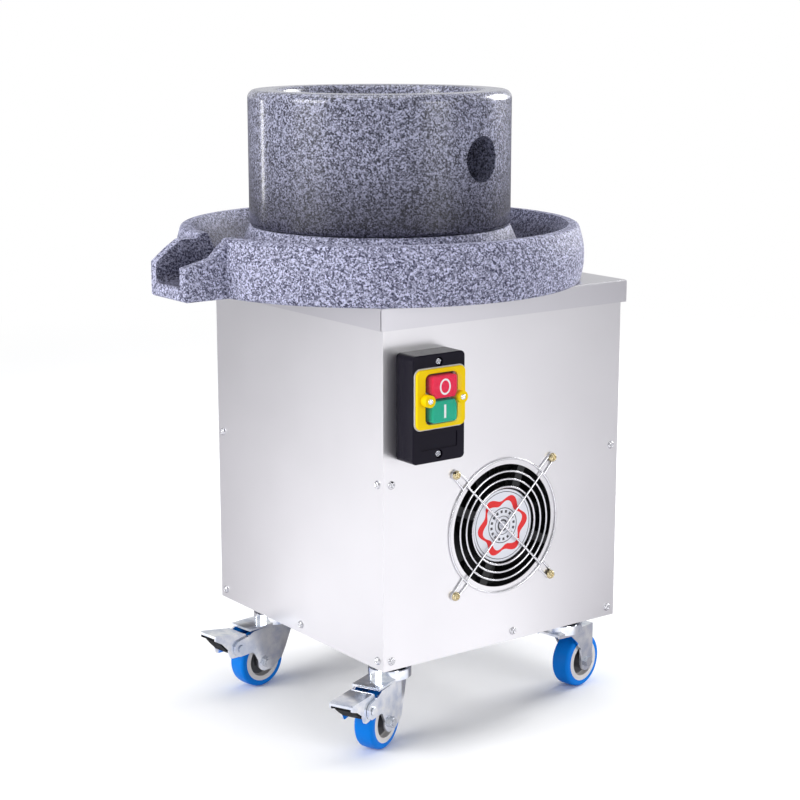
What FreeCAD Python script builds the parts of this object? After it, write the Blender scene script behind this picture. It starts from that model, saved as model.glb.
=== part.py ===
import FreeCAD, Part
import math
import os

Vec = FreeCAD.Vector
UP = Vec(0, 0, 1)

# Stones
RUNNER_R = 113.4
RUNNER_H = 114.8
RUNNER_TOP_ROUND = 7.0
RUNNER_FOOT_ROUND = 3.0
RIM_WALL = 25.0
RIM_ROUND = 5.0
HOPPER_DEPTH = 28.0
HOPPER_TAPER = 9.0
HOPPER_ROUND = 16.0
FEED_EYE_R = 14.0
FEED_EYE_OFFSET = 50.0
FEED_EYE_ANGLE = 130.0
SOCKET_R = 19.15
SOCKET_DEPTH = 48.0
SOCKET_RISE = 60.5
SOCKET_ANGLE = -77.2
GRIND_GAP = 0.4
PAN_H = 48.9
PAN_BELLY_LOW = 15.0
PAN_BELLY_HIGH = 31.0
PAN_BELLY_ROUND = 55.0
PAN_FOOT_ROUND = 3.5
PAN_RIM_ROUND = 4.0
PAN_FOOT_INSET = 3.0
PAN_TOP_INSET = 4.9
RIM_W = 13.8
TROUGH_DEPTH = 30.0
TROUGH_W = 34.6
TROUGH_WALL_FLARE = 15.7
TROUGH_ROUND = 16.0
BED_INSET = 0.4
BED_FLARE = 24.5
BED_EDGE_ROUND = 1.5
BED_STEP = 1.0
SPOUT_LENGTH = 34.0
SPOUT_W = 57.0
SPOUT_WALL = 9.5
SPOUT_TIP_H = 27.7
SPOUT_ROOT_H = 45.0
SPOUT_NEAR_BEND = 26.0
SPOUT_NEAR_H = 34.0
SPOUT_FAR_BEND = 14.0
SPOUT_FAR_H = 38.8
SPOUT_FAR_ROOT = 24.0
SPOUT_FLOOR = 12.0
SPOUT_FALL = 5.0
SPOUT_FLOOR_ROUND = 7.0
SPOUT_EDGE_ROUND = 1.5
SPOUT_FOOT_ROUND = 2.5

# Cabinet, lid and plates
CABINET_W = 256.0
CABINET_D = 256.0
CABINET_H = 285.4
SHEET = 1.2
LID_FLANGE = 19.4
LID_OVERHANG = 3.5
LID_SLIT = 0.8
LID_ROUND = 1.6
BASE_SHEET = 1.5
BASE_FLANGE = 14.0
BASE_LIFT = 4.0
POST_LEG = 20.0
POST_SHEET = 2.0
PLATE_T = 6.0
CASTER_H = 76.0
SPINDLE_TO_RIGHT = 161.9
STONE_SHIFT_Y = 6.0

# Panel screws and vents
SCREW_R = 1.9
SCREW_HEAD_R = 3.5
SCREW_HEAD_H = 2.1
SCREW_LENGTH = 8.0
SCREW_EDGE = 8.0
SCREW_LOW = 8.0
SCREW_HIGH = 158.0
FRONT_MIDDLE_SCREW = 10.0
LEFT_MIDDLE_SCREW = -5.0
VENT_COUNT = 7
VENT_W = 90.0
VENT_H = 4.0
VENT_PITCH = 14.0
VENT_TOP = 75.0
GLAND_R = 8.0
GLAND_BORE_R = 3.75
GLAND_FLANGE_R = 11.5
GLAND_OUT = 19.0
GLAND_X = 70.0
GLAND_RISE = 45.0
GLAND_NUT_T = 5.0

# Drive
SPINDLE_R = 12.0
SPINDLE_HEAD = 20.0
DRIVER_R = 34.0
DRIVER_T = 12.0
DRIVER_SINK = 1.0
DRIVER_LUG = 14.0
BUSH_WALL = 9.0
STAGE_TEETH = 60
PINION_TEETH = 12
SLOW_MODULE = 1.5
FAST_MODULE = 1.0
SLOW_FACE = 16.0
FAST_FACE = 12.0
ADDENDUM = 0.8
DEDENDUM = 1.1
BACKLASH = 0.16
FLANK_SLOPE = 0.36
COUNTER_ANGLE = 25.0
MOTOR_ANGLE = -60.0
CASE_H = 72.0
CASE_WALL = 6.0
CASE_FLOOR = 12.0
CASE_COVER = 12.0
CASE_ROUND = 12.0
GEAR_ROOM = 4.0
CASE_BOLT_GRIP = 20.0
SMALL_SHAFT_R = 6.0
COUNTER_NECK = 1.0
SMALL_BEARING_R = 14.0
SMALL_BEARING_T = 9.0
BIG_BEARING_R = 23.5
BIG_BEARING_T = 11.0
MOTOR_R = 48.0
MOTOR_FIN = 4.0
MOTOR_FINS = 36
MOTOR_FIN_T = 1.6
MOTOR_L = 112.0
MOTOR_WALL = 4.0
STATOR_R_IN = 30.0
ROTOR_GAP = 0.5
ROTOR_L = 70.0
END_COVER_H = 15.0
CAPACITOR_R = 18.0
CAPACITOR_H = 62.0
CAPACITOR_ROOM = 6.0
CAPACITOR_SHIFT = 18.0

# Fan
FAN_W = 119.0
FAN_D = 38.0
FAN_FLANGE = 5.0
FAN_BORE_R = 55.5
FAN_HOLE_R = 53.5
FAN_PITCH = 105.0
FAN_RISE = 104.5
FAN_SHIFT = -2.0
FAN_HUB_R = 32.5
FAN_HUB_T = 6.0
FAN_STRUTS = 4
FAN_STRUT_W = 8.0
FAN_STRUT_TURN = 67.0
ROTOR_HUB_D = 24.0
BLADES = 7
BLADE_TIP_GAP = 1.5
BLADE_CHORD = 26.0
BLADE_PITCH = 38.0
BLADE_T = 1.6
LABEL_T = 0.4
LABEL_R = 31.5
GUARD_WIRE_R = 0.9
GUARD_RINGS = 3
GUARD_STEP = 6.7
GUARD_INSET = 1.0
GUARD_INNER_R = 34.0
LOOP_R = 3.0
LOOP_SPREAD = 4.0
GUARD_SCREW_R = 2.0
GUARD_SCREW_HEAD_R = 4.0
GUARD_SCREW_HEAD_H = 3.2
GUARD_SCREW_LENGTH = 16.0

# Switch
SWITCH_W = 52.5
SWITCH_H = 88.7
SWITCH_D = 22.5
SWITCH_X = -88.75
SWITCH_RISE = 222.0
SWITCH_ROUND = 4.0
SWITCH_WALL = 2.5
SWITCH_LIP = 1.2
BEZEL_W = 49.0
BEZEL_H = 48.6
BEZEL_T = 2.4
BEZEL_ROUND = 5.0
BEZEL_RAISE = 8.7
FLANGE_MARGIN = 1.0
FLANGE_T = 0.8
WINDOW_W = 32.0
WINDOW_H = 41.0
WINDOW_RISE = 6.0
WINDOW_T = 1.0
WINDOW_ROUND = 5.0
WINDOW_GAP = 0.3
EAR_R = 5.0
EAR_SHIFT = 16.4
EAR_RISE = 8.3
BUTTON_W = 24.6
BUTTON_H = 18.0
BUTTON_SPLIT = 2.0
BUTTON_D = 9.5
BUTTON_ROUND = 1.2
BUTTON_TRAVEL = 3.0
BUTTON_STEM_R = 3.0
BUTTON_GAP = 0.4
CONTACT_W = 34.0
CONTACT_H = 38.0
NAME_W = 37.0
NAME_H = 13.0
NAME_DEPTH = 0.8
BOX_SCREW_INSET = 6.5
BOX_SCREW_R = 2.0
BOX_SCREW_HEAD_R = 3.4
EAR_SCREW_R = 1.3
EAR_SCREW_HEAD_R = 2.4
EAR_SCREW_HEAD_H = 1.4

# Casters, along the trail from the swivel axis
WHEEL_R = 25.0
TYRE_W = 18.0
TYRE_DEPTH = 6.0
TYRE_ROUND = 3.2
TYRE_CROWN = 60.0
HUB_W = 20.0
HUB_RIM = 4.5
HUB_WEB = 7.0
HUB_BOSS_R = 7.0
AXLE_R = 3.0
AXLE_HEAD_R = 4.8
AXLE_HEAD_T = 3.0
TRAIL = 21.5
FORK_GAP = 22.6
FORK_SHEET = 2.0
FORK_TOP = 60.0
FORK_REAR = 17.0
PLAIN_REAR = 21.0
CROWN_FRONT = 40.0
LEG_SHOULDER = 18.0
FORK_WING_TURN = 18.0
BOSS_R = 8.3
EAR_LENGTH = 28.5
EAR_DROP = 16.0
EAR_TIP_R = 7.5
CUP_R = 18.4
CUP_H = 6.0
CUP_SHEET = 2.0
RACE_R = 14.0
KING_R = 5.0
KING_HEAD_R = 8.0
KING_HEAD_T = 2.5
CASTER_PLATE = 46.0
CASTER_PLATE_T = 2.5
CASTER_PLATE_ROUND = 5.0
CASTER_BOLT_PITCH = 34.0
BOLT_R = 3.0
BOLT_HEAD_R = 5.2
BOLT_HEAD_T = 3.5
CASTER_SIDE_INSET = 31.0
CASTER_FRONT_INSET = 34.0
CASTER_REAR_INSET = 40.0
PEDAL_REACH = 80.0
PEDAL_TOP = 57.4
PEDAL_SHEET = 1.6
PEDAL_PRESS = 20.0
PEDAL_LIFT = 9.0
RIVET_R = 2.4
RIVET_HEAD_R = 3.6
RIVET_HEAD_T = 1.2
SHOE_GAP = 0.4

# Clearances
RUNNING = 0.05
FREE = 0.3
SLIP = 0.15

GUARD_OUTER_R = FAN_W / 2 - GUARD_INSET
BED_R = RUNNER_R - BED_INSET
TROUGH_WALL_R = RUNNER_R + TROUGH_W
RIM_INNER_R = TROUGH_WALL_R + TROUGH_WALL_FLARE
PAN_R = RIM_INNER_R + RIM_W
PAN_FOOT_R = PAN_R - PAN_FOOT_INSET
PAN_TOP_R = PAN_R - PAN_TOP_INSET
SPOUT_REACH = PAN_R + SPOUT_LENGTH
SPINDLE_X = SPOUT_LENGTH / 2
RIGHT_X = SPINDLE_X + SPINDLE_TO_RIGHT
LEFT_X = RIGHT_X - CABINET_W
CABINET_X = RIGHT_X - CABINET_W / 2
CABINET_Y = -STONE_SHIFT_Y
FRONT_Y = CABINET_Y - CABINET_D / 2
REAR_Y = CABINET_Y + CABINET_D / 2
LID_TOP = CASTER_H + CABINET_H + LID_FLANGE
SHEET_TOP = LID_TOP - SHEET
PLATE_Z = SHEET_TOP - PLATE_T
BED_TOP = LID_TOP + PAN_H - BED_STEP
RUNNER_Z = BED_TOP + GRIND_GAP
CASE_Z = PLATE_Z - CASE_H
COVER_Z = PLATE_Z - CASE_COVER
SLOW_REACH = SLOW_MODULE * (STAGE_TEETH + PINION_TEETH) / 2
FAST_REACH = FAST_MODULE * (STAGE_TEETH + PINION_TEETH) / 2
SPINDLE = Vec(SPINDLE_X, 0, 0)


def toward(degrees, length=1.0):
    angle = math.radians(degrees)
    return Vec(math.cos(angle) * length, math.sin(angle) * length, 0)


COUNTER = SPINDLE + toward(COUNTER_ANGLE, SLOW_REACH)
MOTOR = COUNTER + toward(MOTOR_ANGLE, FAST_REACH)


# Shape helpers

def block(x0, x1, y0, y1, z0, z1):
    return Part.makeBox(x1 - x0, y1 - y0, z1 - z0, Vec(x0, y0, z0))


def rod(radius, start, end):
    line = end - start
    return Part.makeCylinder(radius, line.Length, start, line)


def post(radius, centre, z0, z1):
    return rod(radius, Vec(centre.x, centre.y, z0), Vec(centre.x, centre.y, z1))


def ring(outer, inner, centre, z0, z1):
    return post(outer, centre, z0, z1).cut(post(inner, centre, z0 - 1, z1 + 1))


def outline(corners):
    """Closed wire through (point, radius) corners, each radius a tangent arc."""
    stretches = []
    count = len(corners)
    for i in range(count):
        point, radius = corners[i]
        back = (corners[i - 1][0] - point).normalize()
        ahead = (corners[(i + 1) % count][0] - point).normalize()
        if radius == 0:
            stretches.append((point, None, point))
            continue
        half = back.getAngle(ahead) / 2
        inward = (back + ahead).normalize()
        reach = radius / math.tan(half)
        middle = point + inward * (radius / math.sin(half) - radius)
        stretches.append((point + back * reach, middle, point + ahead * reach))
    edges = []
    for i in range(count):
        first, middle, last = stretches[i]
        if middle is not None:
            edges.append(Part.Arc(first, middle, last).toShape())
        following = stretches[(i + 1) % count][0]
        if (following - last).Length > 1e-6:
            edges.append(Part.makeLine(last, following))
    return Part.Wire(edges)


def turned(corners, centre):
    """Solid of revolution about the upright axis at centre from (r, z, radius) corners."""
    wire = outline([(Vec(centre.x + r, centre.y, z), radius) for r, z, radius in corners])
    return Part.Face(wire).revolve(Vec(centre.x, centre.y, 0), UP, 360)


def slab(corners, depth):
    """Prism of a rounded outline of (point, radius) corners along the vector depth."""
    return Part.Face(outline(corners)).extrude(depth)


def front_plate(x, z, width, height, rounding, out0, out1):
    """Rounded upright plate parallel to the front panel, from out0 to out1 in front of it."""
    x0, x1 = x - width / 2, x + width / 2
    z0, z1 = z - height / 2, z + height / 2
    y = FRONT_Y - out0
    corners = [(Vec(x0, y, z0), rounding), (Vec(x1, y, z0), rounding),
               (Vec(x1, y, z1), rounding), (Vec(x0, y, z1), rounding)]
    return slab(corners, Vec(0, out0 - out1, 0))


def front_rod(radius, x, z, out0, out1):
    return rod(radius, Vec(x, FRONT_Y - out0, z), Vec(x, FRONT_Y - out1, z))


def joined(shapes):
    return shapes[0].multiFuse(shapes[1:]).removeSplitter()


def group(shapes):
    return Part.makeCompound(shapes)


def edges_near(shape, test):
    return [edge for edge in shape.Edges if test(edge)]


# Stones

def hopper_floor_z():
    return RUNNER_Z + RUNNER_H - HOPPER_DEPTH


def driver_z():
    return RUNNER_Z + DRIVER_SINK


def feed_eye_centre():
    return SPINDLE + toward(FEED_EYE_ANGLE, FEED_EYE_OFFSET)


def driver_outline(room):
    """Round plate with two lugs across it, room larger all round."""
    plate = post(DRIVER_R + room, SPINDLE, driver_z(), driver_z() + DRIVER_T + room)
    half = DRIVER_LUG / 2 + room
    reach = DRIVER_R * 1.5 + room
    lugs = block(SPINDLE_X - half, SPINDLE_X + half, -reach, reach,
                 driver_z(), driver_z() + DRIVER_T + room)
    return joined([plate, lugs])


def runner_stone():
    top = RUNNER_Z + RUNNER_H
    rim = RUNNER_R - RIM_WALL
    stone = turned([(0, RUNNER_Z, 0),
                    (RUNNER_R, RUNNER_Z, RUNNER_FOOT_ROUND),
                    (RUNNER_R, top, RUNNER_TOP_ROUND),
                    (rim, top, RIM_ROUND),
                    (rim - HOPPER_TAPER, hopper_floor_z(), HOPPER_ROUND),
                    (0, hopper_floor_z(), 0)], SPINDLE)
    recess = driver_outline(SLIP)
    mouth = recess.copy()
    mouth.translate(Vec(0, 0, -DRIVER_T))
    eye = post(FEED_EYE_R, feed_eye_centre(), RUNNER_Z - 1, top + 1)
    middle = SPINDLE + Vec(0, 0, RUNNER_Z + SOCKET_RISE)
    out = toward(SOCKET_ANGLE)
    socket = rod(SOCKET_R, middle + out * (RUNNER_R - SOCKET_DEPTH), middle + out * (RUNNER_R + 5))
    return stone.cut(recess).cut(mouth).cut(eye).cut(socket)


def runner_driver():
    half = SPINDLE_HEAD / 2 + SLIP
    z = driver_z()
    hole = block(SPINDLE_X - half, SPINDLE_X + half, -half, half, z - 1, z + DRIVER_T + 1)
    return driver_outline(0).cut(hole)


def pan_body():
    z = LID_TOP
    return turned([(0, z, 0),
                   (PAN_FOOT_R, z, PAN_FOOT_ROUND),
                   (PAN_R, z + PAN_BELLY_LOW, PAN_BELLY_ROUND),
                   (PAN_R, z + PAN_BELLY_HIGH, PAN_BELLY_ROUND),
                   (PAN_TOP_R, z + PAN_H, PAN_RIM_ROUND),
                   (0, z + PAN_H, 0)], SPINDLE)


def spout_wall(y, bend, bend_h, root):
    """Upright wall of the spout whose top climbs to the pan over a bend and a root."""
    tip = SPINDLE_X - SPOUT_REACH
    inner = SPINDLE_X - RIM_INNER_R
    side = [(Vec(tip, y, LID_TOP), 0),
            (Vec(inner, y, LID_TOP), 0),
            (Vec(inner, y, LID_TOP + SPOUT_ROOT_H), 0),
            (Vec(tip + root, y, LID_TOP + SPOUT_ROOT_H), 0),
            (Vec(tip + bend, y, LID_TOP + bend_h), 0),
            (Vec(tip, y, LID_TOP + SPOUT_TIP_H), 0)]
    return slab(side, Vec(0, SPOUT_W / 2, 0))


def spout_body():
    """Solid spout, its near half climbing slowly to the pan and its far half steeply."""
    near = spout_wall(-SPOUT_W / 2, SPOUT_NEAR_BEND, SPOUT_NEAR_H, SPOUT_REACH - PAN_FOOT_R)
    far = spout_wall(0, SPOUT_FAR_BEND, SPOUT_FAR_H, SPOUT_FAR_ROOT)
    body = joined([near, far])
    tip = SPINDLE_X - SPOUT_REACH
    half = SPOUT_W / 2

    def outer_low(edge):
        box = edge.BoundBox
        low = box.ZMax < LID_TOP + 0.1
        return low and (abs(abs(box.YMin) - half) < 0.1 or box.XMax < tip + 0.1)

    def tip_side(edge):
        box = edge.BoundBox
        return box.XMax < tip + 0.1 and box.ZLength > 1 and abs(abs(box.YMin) - half) < 0.1
    body = body.makeFillet(SPOUT_FOOT_ROUND, edges_near(body, outer_low))
    return body.makeFillet(SPOUT_EDGE_ROUND, edges_near(body, tip_side))


def trough_space():
    z = LID_TOP + PAN_H
    floor = z - TROUGH_DEPTH
    flare = math.tan(math.radians(BED_FLARE)) * (BED_TOP - floor)
    return turned([(BED_R, BED_TOP, BED_EDGE_ROUND),
                   (BED_R + flare, floor, PAN_RIM_ROUND),
                   (TROUGH_WALL_R, floor, TROUGH_ROUND),
                   (RIM_INNER_R, z, 0),
                   (RIM_INNER_R, z + 5, 0),
                   (0, z + 5, 0),
                   (0, BED_TOP, 0)], SPINDLE)


def spout_channel():
    half = SPOUT_W / 2 - SPOUT_WALL
    x = SPINDLE_X - SPOUT_REACH - 1
    run = SPOUT_REACH + 1 - TROUGH_WALL_R + TROUGH_ROUND
    floor = LID_TOP + SPOUT_FLOOR
    top = LID_TOP + PAN_H * 2
    corners = [(Vec(x, -half, floor), SPOUT_FLOOR_ROUND),
               (Vec(x, half, floor), SPOUT_FLOOR_ROUND),
               (Vec(x, half, top), 0),
               (Vec(x, -half, top), 0)]
    return slab(corners, Vec(run, 0, SPOUT_FALL))


def bush_r():
    return SPINDLE_R + RUNNING + BUSH_WALL


def bed_stone():
    stone = joined([pan_body(), spout_body()])
    stone = stone.cut(trough_space()).cut(spout_channel())
    return stone.cut(post(bush_r(), SPINDLE, LID_TOP - 1, BED_TOP + 1))


def bed_bush():
    return ring(bush_r(), SPINDLE_R + RUNNING, SPINDLE, LID_TOP, BED_TOP - BED_STEP)


# Cabinet

def screw_holes_front(y, facing, xs_low):
    holes = []
    for x, z in panel_screw_places(CABINET_X, CABINET_W, xs_low):
        holes.append(rod(SCREW_R + SLIP, Vec(x, y - facing, z), Vec(x, y + facing * 4, z)))
    return holes


def panel_screw_places(centre, width, middle):
    """Places across a panel and up it: two high, two low in the corners and one low between."""
    low = CASTER_H + SCREW_LOW
    high = CASTER_H + SCREW_HIGH
    reach = width / 2 - SCREW_EDGE
    return [(centre - reach, high), (centre + reach, high),
            (centre - reach, low), (centre + reach, low), (centre + middle, low)]


def panel_screw_lines():
    """(head point, inward direction) of every panel screw, panel by panel."""
    lines = {"front": [], "rear": [], "left": [], "right": []}
    for x, z in panel_screw_places(CABINET_X, CABINET_W, FRONT_MIDDLE_SCREW):
        lines["front"].append((Vec(x, FRONT_Y, z), Vec(0, 1, 0)))
        lines["rear"].append((Vec(x, REAR_Y, z), Vec(0, -1, 0)))
    for y, z in panel_screw_places(CABINET_Y, CABINET_D, LEFT_MIDDLE_SCREW):
        lines["left"].append((Vec(LEFT_X, y, z), Vec(1, 0, 0)))
        lines["right"].append((Vec(RIGHT_X, y, z), Vec(-1, 0, 0)))
    return lines


def drilled(shape, names):
    for name in names:
        for head, inward in panel_screw_lines()[name]:
            shape = shape.cut(rod(SCREW_R + RUNNING, head - inward, head + inward * SCREW_LENGTH))
    return shape


def panel_screws():
    screws = []
    for lines in panel_screw_lines().values():
        for head, inward in lines:
            shank = rod(SCREW_R, head, head + inward * SCREW_LENGTH)
            cap = rod(SCREW_HEAD_R, head - inward * SCREW_HEAD_H, head)
            rim = edges_near(cap, lambda e: abs(inward.dot(e.CenterOfMass - head)) > SCREW_HEAD_H / 2
                             and e.Closed)
            cap = cap.makeFillet(SCREW_HEAD_H * 0.6, rim)
            screws.append(joined([shank, cap]))
    return group(screws)


def base_z():
    return CASTER_H + BASE_LIFT


def base_plate():
    x0, x1 = LEFT_X + SHEET, RIGHT_X - SHEET
    y0, y1 = FRONT_Y + SHEET, REAR_Y - SHEET
    z = base_z()
    sheet = block(x0, x1, y0, y1, z, z + BASE_SHEET)
    long_x = (x0 + POST_LEG + 1, x1 - POST_LEG - 1)
    long_y = (y0 + POST_LEG + 1, y1 - POST_LEG - 1)
    flanges = [block(*long_x, y0, y0 + BASE_SHEET, z, z + BASE_FLANGE),
               block(*long_x, y1 - BASE_SHEET, y1, z, z + BASE_FLANGE),
               block(x0, x0 + BASE_SHEET, *long_y, z, z + BASE_FLANGE),
               block(x1 - BASE_SHEET, x1, *long_y, z, z + BASE_FLANGE)]
    plate = joined([sheet] + flanges)
    for bolt in caster_bolt_places():
        plate = plate.cut(post(BOLT_R + RUNNING, bolt, z - 1, z + BASE_SHEET + 1))
    return drilled(plate, ["front", "rear", "left", "right"])


def corner_posts():
    z0, z1 = base_z() + BASE_SHEET, PLATE_Z
    posts = []
    for side_x in (-1, 1):
        for side_y in (-1, 1):
            x = CABINET_X + side_x * (CABINET_W / 2 - SHEET)
            y = CABINET_Y + side_y * (CABINET_D / 2 - SHEET)
            far_x, far_y = x - side_x * POST_LEG, y - side_y * POST_LEG
            thin_x, thin_y = x - side_x * POST_SHEET, y - side_y * POST_SHEET
            leg_x = block(min(x, far_x), max(x, far_x), min(y, thin_y), max(y, thin_y), z0, z1)
            leg_y = block(min(x, thin_x), max(x, thin_x), min(y, far_y), max(y, far_y), z0, z1)
            posts.append(joined([leg_x, leg_y]))
    return drilled(group(posts), ["front", "rear", "left", "right"])


def fan_z():
    return CASTER_H + FAN_RISE


def fan_x():
    return CABINET_X + FAN_SHIFT


def fan_corners():
    half = FAN_PITCH / 2
    return [(fan_x() + sx * half, fan_z() + sz * half) for sx in (-1, 1) for sz in (-1, 1)]


def switch_x():
    return CABINET_X + SWITCH_X


def switch_z():
    return CASTER_H + SWITCH_RISE


def front_panel():
    panel = block(LEFT_X, RIGHT_X, FRONT_Y, FRONT_Y + SHEET, CASTER_H, SHEET_TOP)
    panel = panel.cut(front_rod(FAN_HOLE_R, fan_x(), fan_z(), 1, -SHEET - 1))
    for x, z in fan_corners():
        panel = panel.cut(front_rod(GUARD_SCREW_R + SLIP, x, z, 1, -SHEET - 1))
    panel = panel.cut(front_rod(GLAND_R, switch_x(), switch_z(), 1, -SHEET - 1))
    for z in box_screw_heights():
        panel = panel.cut(front_rod(BOX_SCREW_R + SLIP, switch_x(), z, 1, -SHEET - 1))
    return drilled(panel, ["front"])


def rear_panel():
    panel = block(LEFT_X, RIGHT_X, REAR_Y - SHEET, REAR_Y, CASTER_H, SHEET_TOP)
    for i in range(VENT_COUNT):
        z = SHEET_TOP - VENT_TOP - i * VENT_PITCH
        corners = [(Vec(CABINET_X - VENT_W / 2, REAR_Y + 1, z), VENT_H * 0.49),
                   (Vec(CABINET_X + VENT_W / 2, REAR_Y + 1, z), VENT_H * 0.49),
                   (Vec(CABINET_X + VENT_W / 2, REAR_Y + 1, z + VENT_H), VENT_H * 0.49),
                   (Vec(CABINET_X - VENT_W / 2, REAR_Y + 1, z + VENT_H), VENT_H * 0.49)]
        panel = panel.cut(slab(corners, Vec(0, -SHEET - 2, 0)))
    x, z = CABINET_X + GLAND_X, CASTER_H + GLAND_RISE
    panel = panel.cut(rod(GLAND_R, Vec(x, REAR_Y + 1, z), Vec(x, REAR_Y - SHEET - 1, z)))
    return drilled(panel, ["rear"])


def left_panel():
    panel = block(LEFT_X, LEFT_X + SHEET, FRONT_Y + SHEET, REAR_Y - SHEET, CASTER_H, SHEET_TOP)
    return drilled(panel, ["left"])


def right_panel():
    panel = block(RIGHT_X - SHEET, RIGHT_X, FRONT_Y + SHEET, REAR_Y - SHEET, CASTER_H, SHEET_TOP)
    return drilled(panel, ["right"])


def top_cover():
    """Folded sheet lid: a top with four flanges that meet at open corner slits."""
    x0, x1 = LEFT_X - LID_OVERHANG, RIGHT_X + LID_OVERHANG
    y0, y1 = FRONT_Y - LID_OVERHANG, REAR_Y + LID_OVERHANG
    shell = block(x0, x1, y0, y1, LID_TOP - LID_FLANGE, LID_TOP)

    def outer_top(edge):
        box = edge.BoundBox
        return box.ZMin > LID_TOP - 0.1
    shell = shell.makeFillet(LID_ROUND, edges_near(shell, outer_top))
    hollow = block(x0 + SHEET, x1 - SHEET, y0 + SHEET, y1 - SHEET, LID_TOP - LID_FLANGE - 1, SHEET_TOP)
    shell = shell.cut(hollow)
    for y in (y0 + SHEET, y1 - SHEET - LID_SLIT):
        for x in (x0 - 1, x1 - SHEET):
            slit = block(x, x + SHEET + 1, y, y + LID_SLIT, LID_TOP - LID_FLANGE - 1,
                         SHEET_TOP - LID_ROUND)
            shell = shell.cut(slit)
    return shell.cut(post(SPINDLE_R + 2, SPINDLE, SHEET_TOP - 1, LID_TOP + 1))


def mounting_plate():
    margin = SHEET + FREE
    plate = block(LEFT_X + margin, RIGHT_X - margin, FRONT_Y + margin, REAR_Y - margin,
                  PLATE_Z, SHEET_TOP)
    plate = plate.cut(post(SPINDLE_R + 1, SPINDLE, PLATE_Z - 1, SHEET_TOP + 1))
    for bolt in case_bolt_places():
        plate = plate.cut(post(BOLT_R + RUNNING, bolt, PLATE_Z - 1, SHEET_TOP + 1))
        plate = plate.cut(post(BOLT_HEAD_R + SLIP, bolt, SHEET_TOP - BOLT_HEAD_T, SHEET_TOP + 1))
    return plate


def cable_gland():
    """Gland body through the rear panel with its dome nut outside and lock nut inside."""
    x, z = CABINET_X + GLAND_X, CASTER_H + GLAND_RISE

    def along(radius, start, end):
        return rod(radius, Vec(x, REAR_Y + start, z), Vec(x, REAR_Y + end, z))
    thread = along(GLAND_R - SLIP, -SHEET - GLAND_NUT_T - 3, 0)
    collar = along(GLAND_FLANGE_R, 0, GLAND_NUT_T)
    dome = along(GLAND_FLANGE_R - 1.5, GLAND_NUT_T, GLAND_OUT)
    tip = edges_near(dome, lambda e: e.Closed and e.CenterOfMass.y > REAR_Y + GLAND_OUT - 1)
    dome = dome.makeFillet(GLAND_FLANGE_R - GLAND_BORE_R - 3, tip)
    bore = along(GLAND_BORE_R, -SHEET - GLAND_NUT_T - 4, GLAND_OUT + 1)
    body = joined([thread, collar, dome]).cut(bore)
    nut = hexagon(GLAND_FLANGE_R, Vec(x, REAR_Y - SHEET, z), Vec(0, -GLAND_NUT_T, 0))
    nut = nut.cut(along(GLAND_R - SLIP + RUNNING, -SHEET - GLAND_NUT_T - 1, 0))
    return group([body, nut])


def hexagon(radius, centre, depth):
    across = depth.cross(Vec(1, 0, 0.3)).normalize()
    other = depth.cross(across).normalize()
    points = []
    for i in range(6):
        angle = math.radians(60 * i)
        points.append(centre + across * (radius * math.cos(angle)) + other * (radius * math.sin(angle)))
    return Part.Face(Part.makePolygon(points + points[:1])).extrude(depth)


# Drive

def gear(module, teeth, centre, z, face, turn):
    """Straight gear of trapezoid teeth; turn places the middle of one tooth, in degrees."""
    pitch_r = module * teeth / 2
    half = math.pi * module / 4 * (1 - BACKLASH)
    tip_r = pitch_r + ADDENDUM * module
    root_r = pitch_r - DEDENDUM * module
    tip_half = (half - ADDENDUM * module * FLANK_SLOPE) / pitch_r
    root_half = (half + DEDENDUM * module * FLANK_SLOPE) / pitch_r
    points = []
    for i in range(teeth):
        middle = math.radians(turn) + 2 * math.pi * i / teeth
        for radius, angle in ((root_r, -root_half), (tip_r, -tip_half),
                              (tip_r, tip_half), (root_r, root_half)):
            points.append(Vec(centre.x + radius * math.cos(middle + angle),
                              centre.y + radius * math.sin(middle + angle), z))
    return Part.Face(Part.makePolygon(points + points[:1])).extrude(Vec(0, 0, face))


def mesh_turn(teeth_here, teeth_there, turn_there, angle):
    """Turn that puts a gap of this gear on the line of centres where the other has its tooth phase."""
    phase_there = (angle + 180 - turn_there) * teeth_there / 360
    return angle - (0.5 - phase_there) * 360 / teeth_here


def slow_z():
    return CASE_Z + CASE_FLOOR + GEAR_ROOM + FAST_FACE + GEAR_ROOM


def fast_z():
    return CASE_Z + CASE_FLOOR + GEAR_ROOM


def spindle():
    z0 = CASE_Z + CASE_FLOOR - BIG_BEARING_T
    shoulder = driver_z()
    shaft = post(SPINDLE_R, SPINDLE, z0, shoulder)
    half = SPINDLE_HEAD / 2
    head = block(SPINDLE_X - half, SPINDLE_X + half, -half, half,
                 shoulder, shoulder + DRIVER_T - SLIP)
    head = head.common(post(SPINDLE_R, SPINDLE, shoulder, shoulder + DRIVER_T))
    return joined([shaft, head])


def output_gear():
    wheel = gear(SLOW_MODULE, STAGE_TEETH, SPINDLE, slow_z(), SLOW_FACE, 0)
    return wheel.cut(post(SPINDLE_R, SPINDLE, slow_z() - 1, slow_z() + SLOW_FACE + 1))


def counter_slow_turn():
    return mesh_turn(PINION_TEETH, STAGE_TEETH, 0, COUNTER_ANGLE + 180)


def countershaft():
    z0 = CASE_Z + CASE_FLOOR - SMALL_BEARING_T
    z1 = COVER_Z + SMALL_BEARING_T
    shaft = post(SMALL_SHAFT_R, COUNTER, z0, z1)
    pinion = gear(SLOW_MODULE, PINION_TEETH, COUNTER, slow_z(), SLOW_FACE, counter_slow_turn())
    wheel = gear(FAST_MODULE, STAGE_TEETH, COUNTER, fast_z(), FAST_FACE, 0)
    neck = post(SMALL_SHAFT_R + COUNTER_NECK, COUNTER, fast_z() + FAST_FACE, slow_z())
    return joined([shaft, pinion, wheel, neck])


def motor_top():
    return CASE_Z


def motor_bottom():
    return CASE_Z - MOTOR_L


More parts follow.
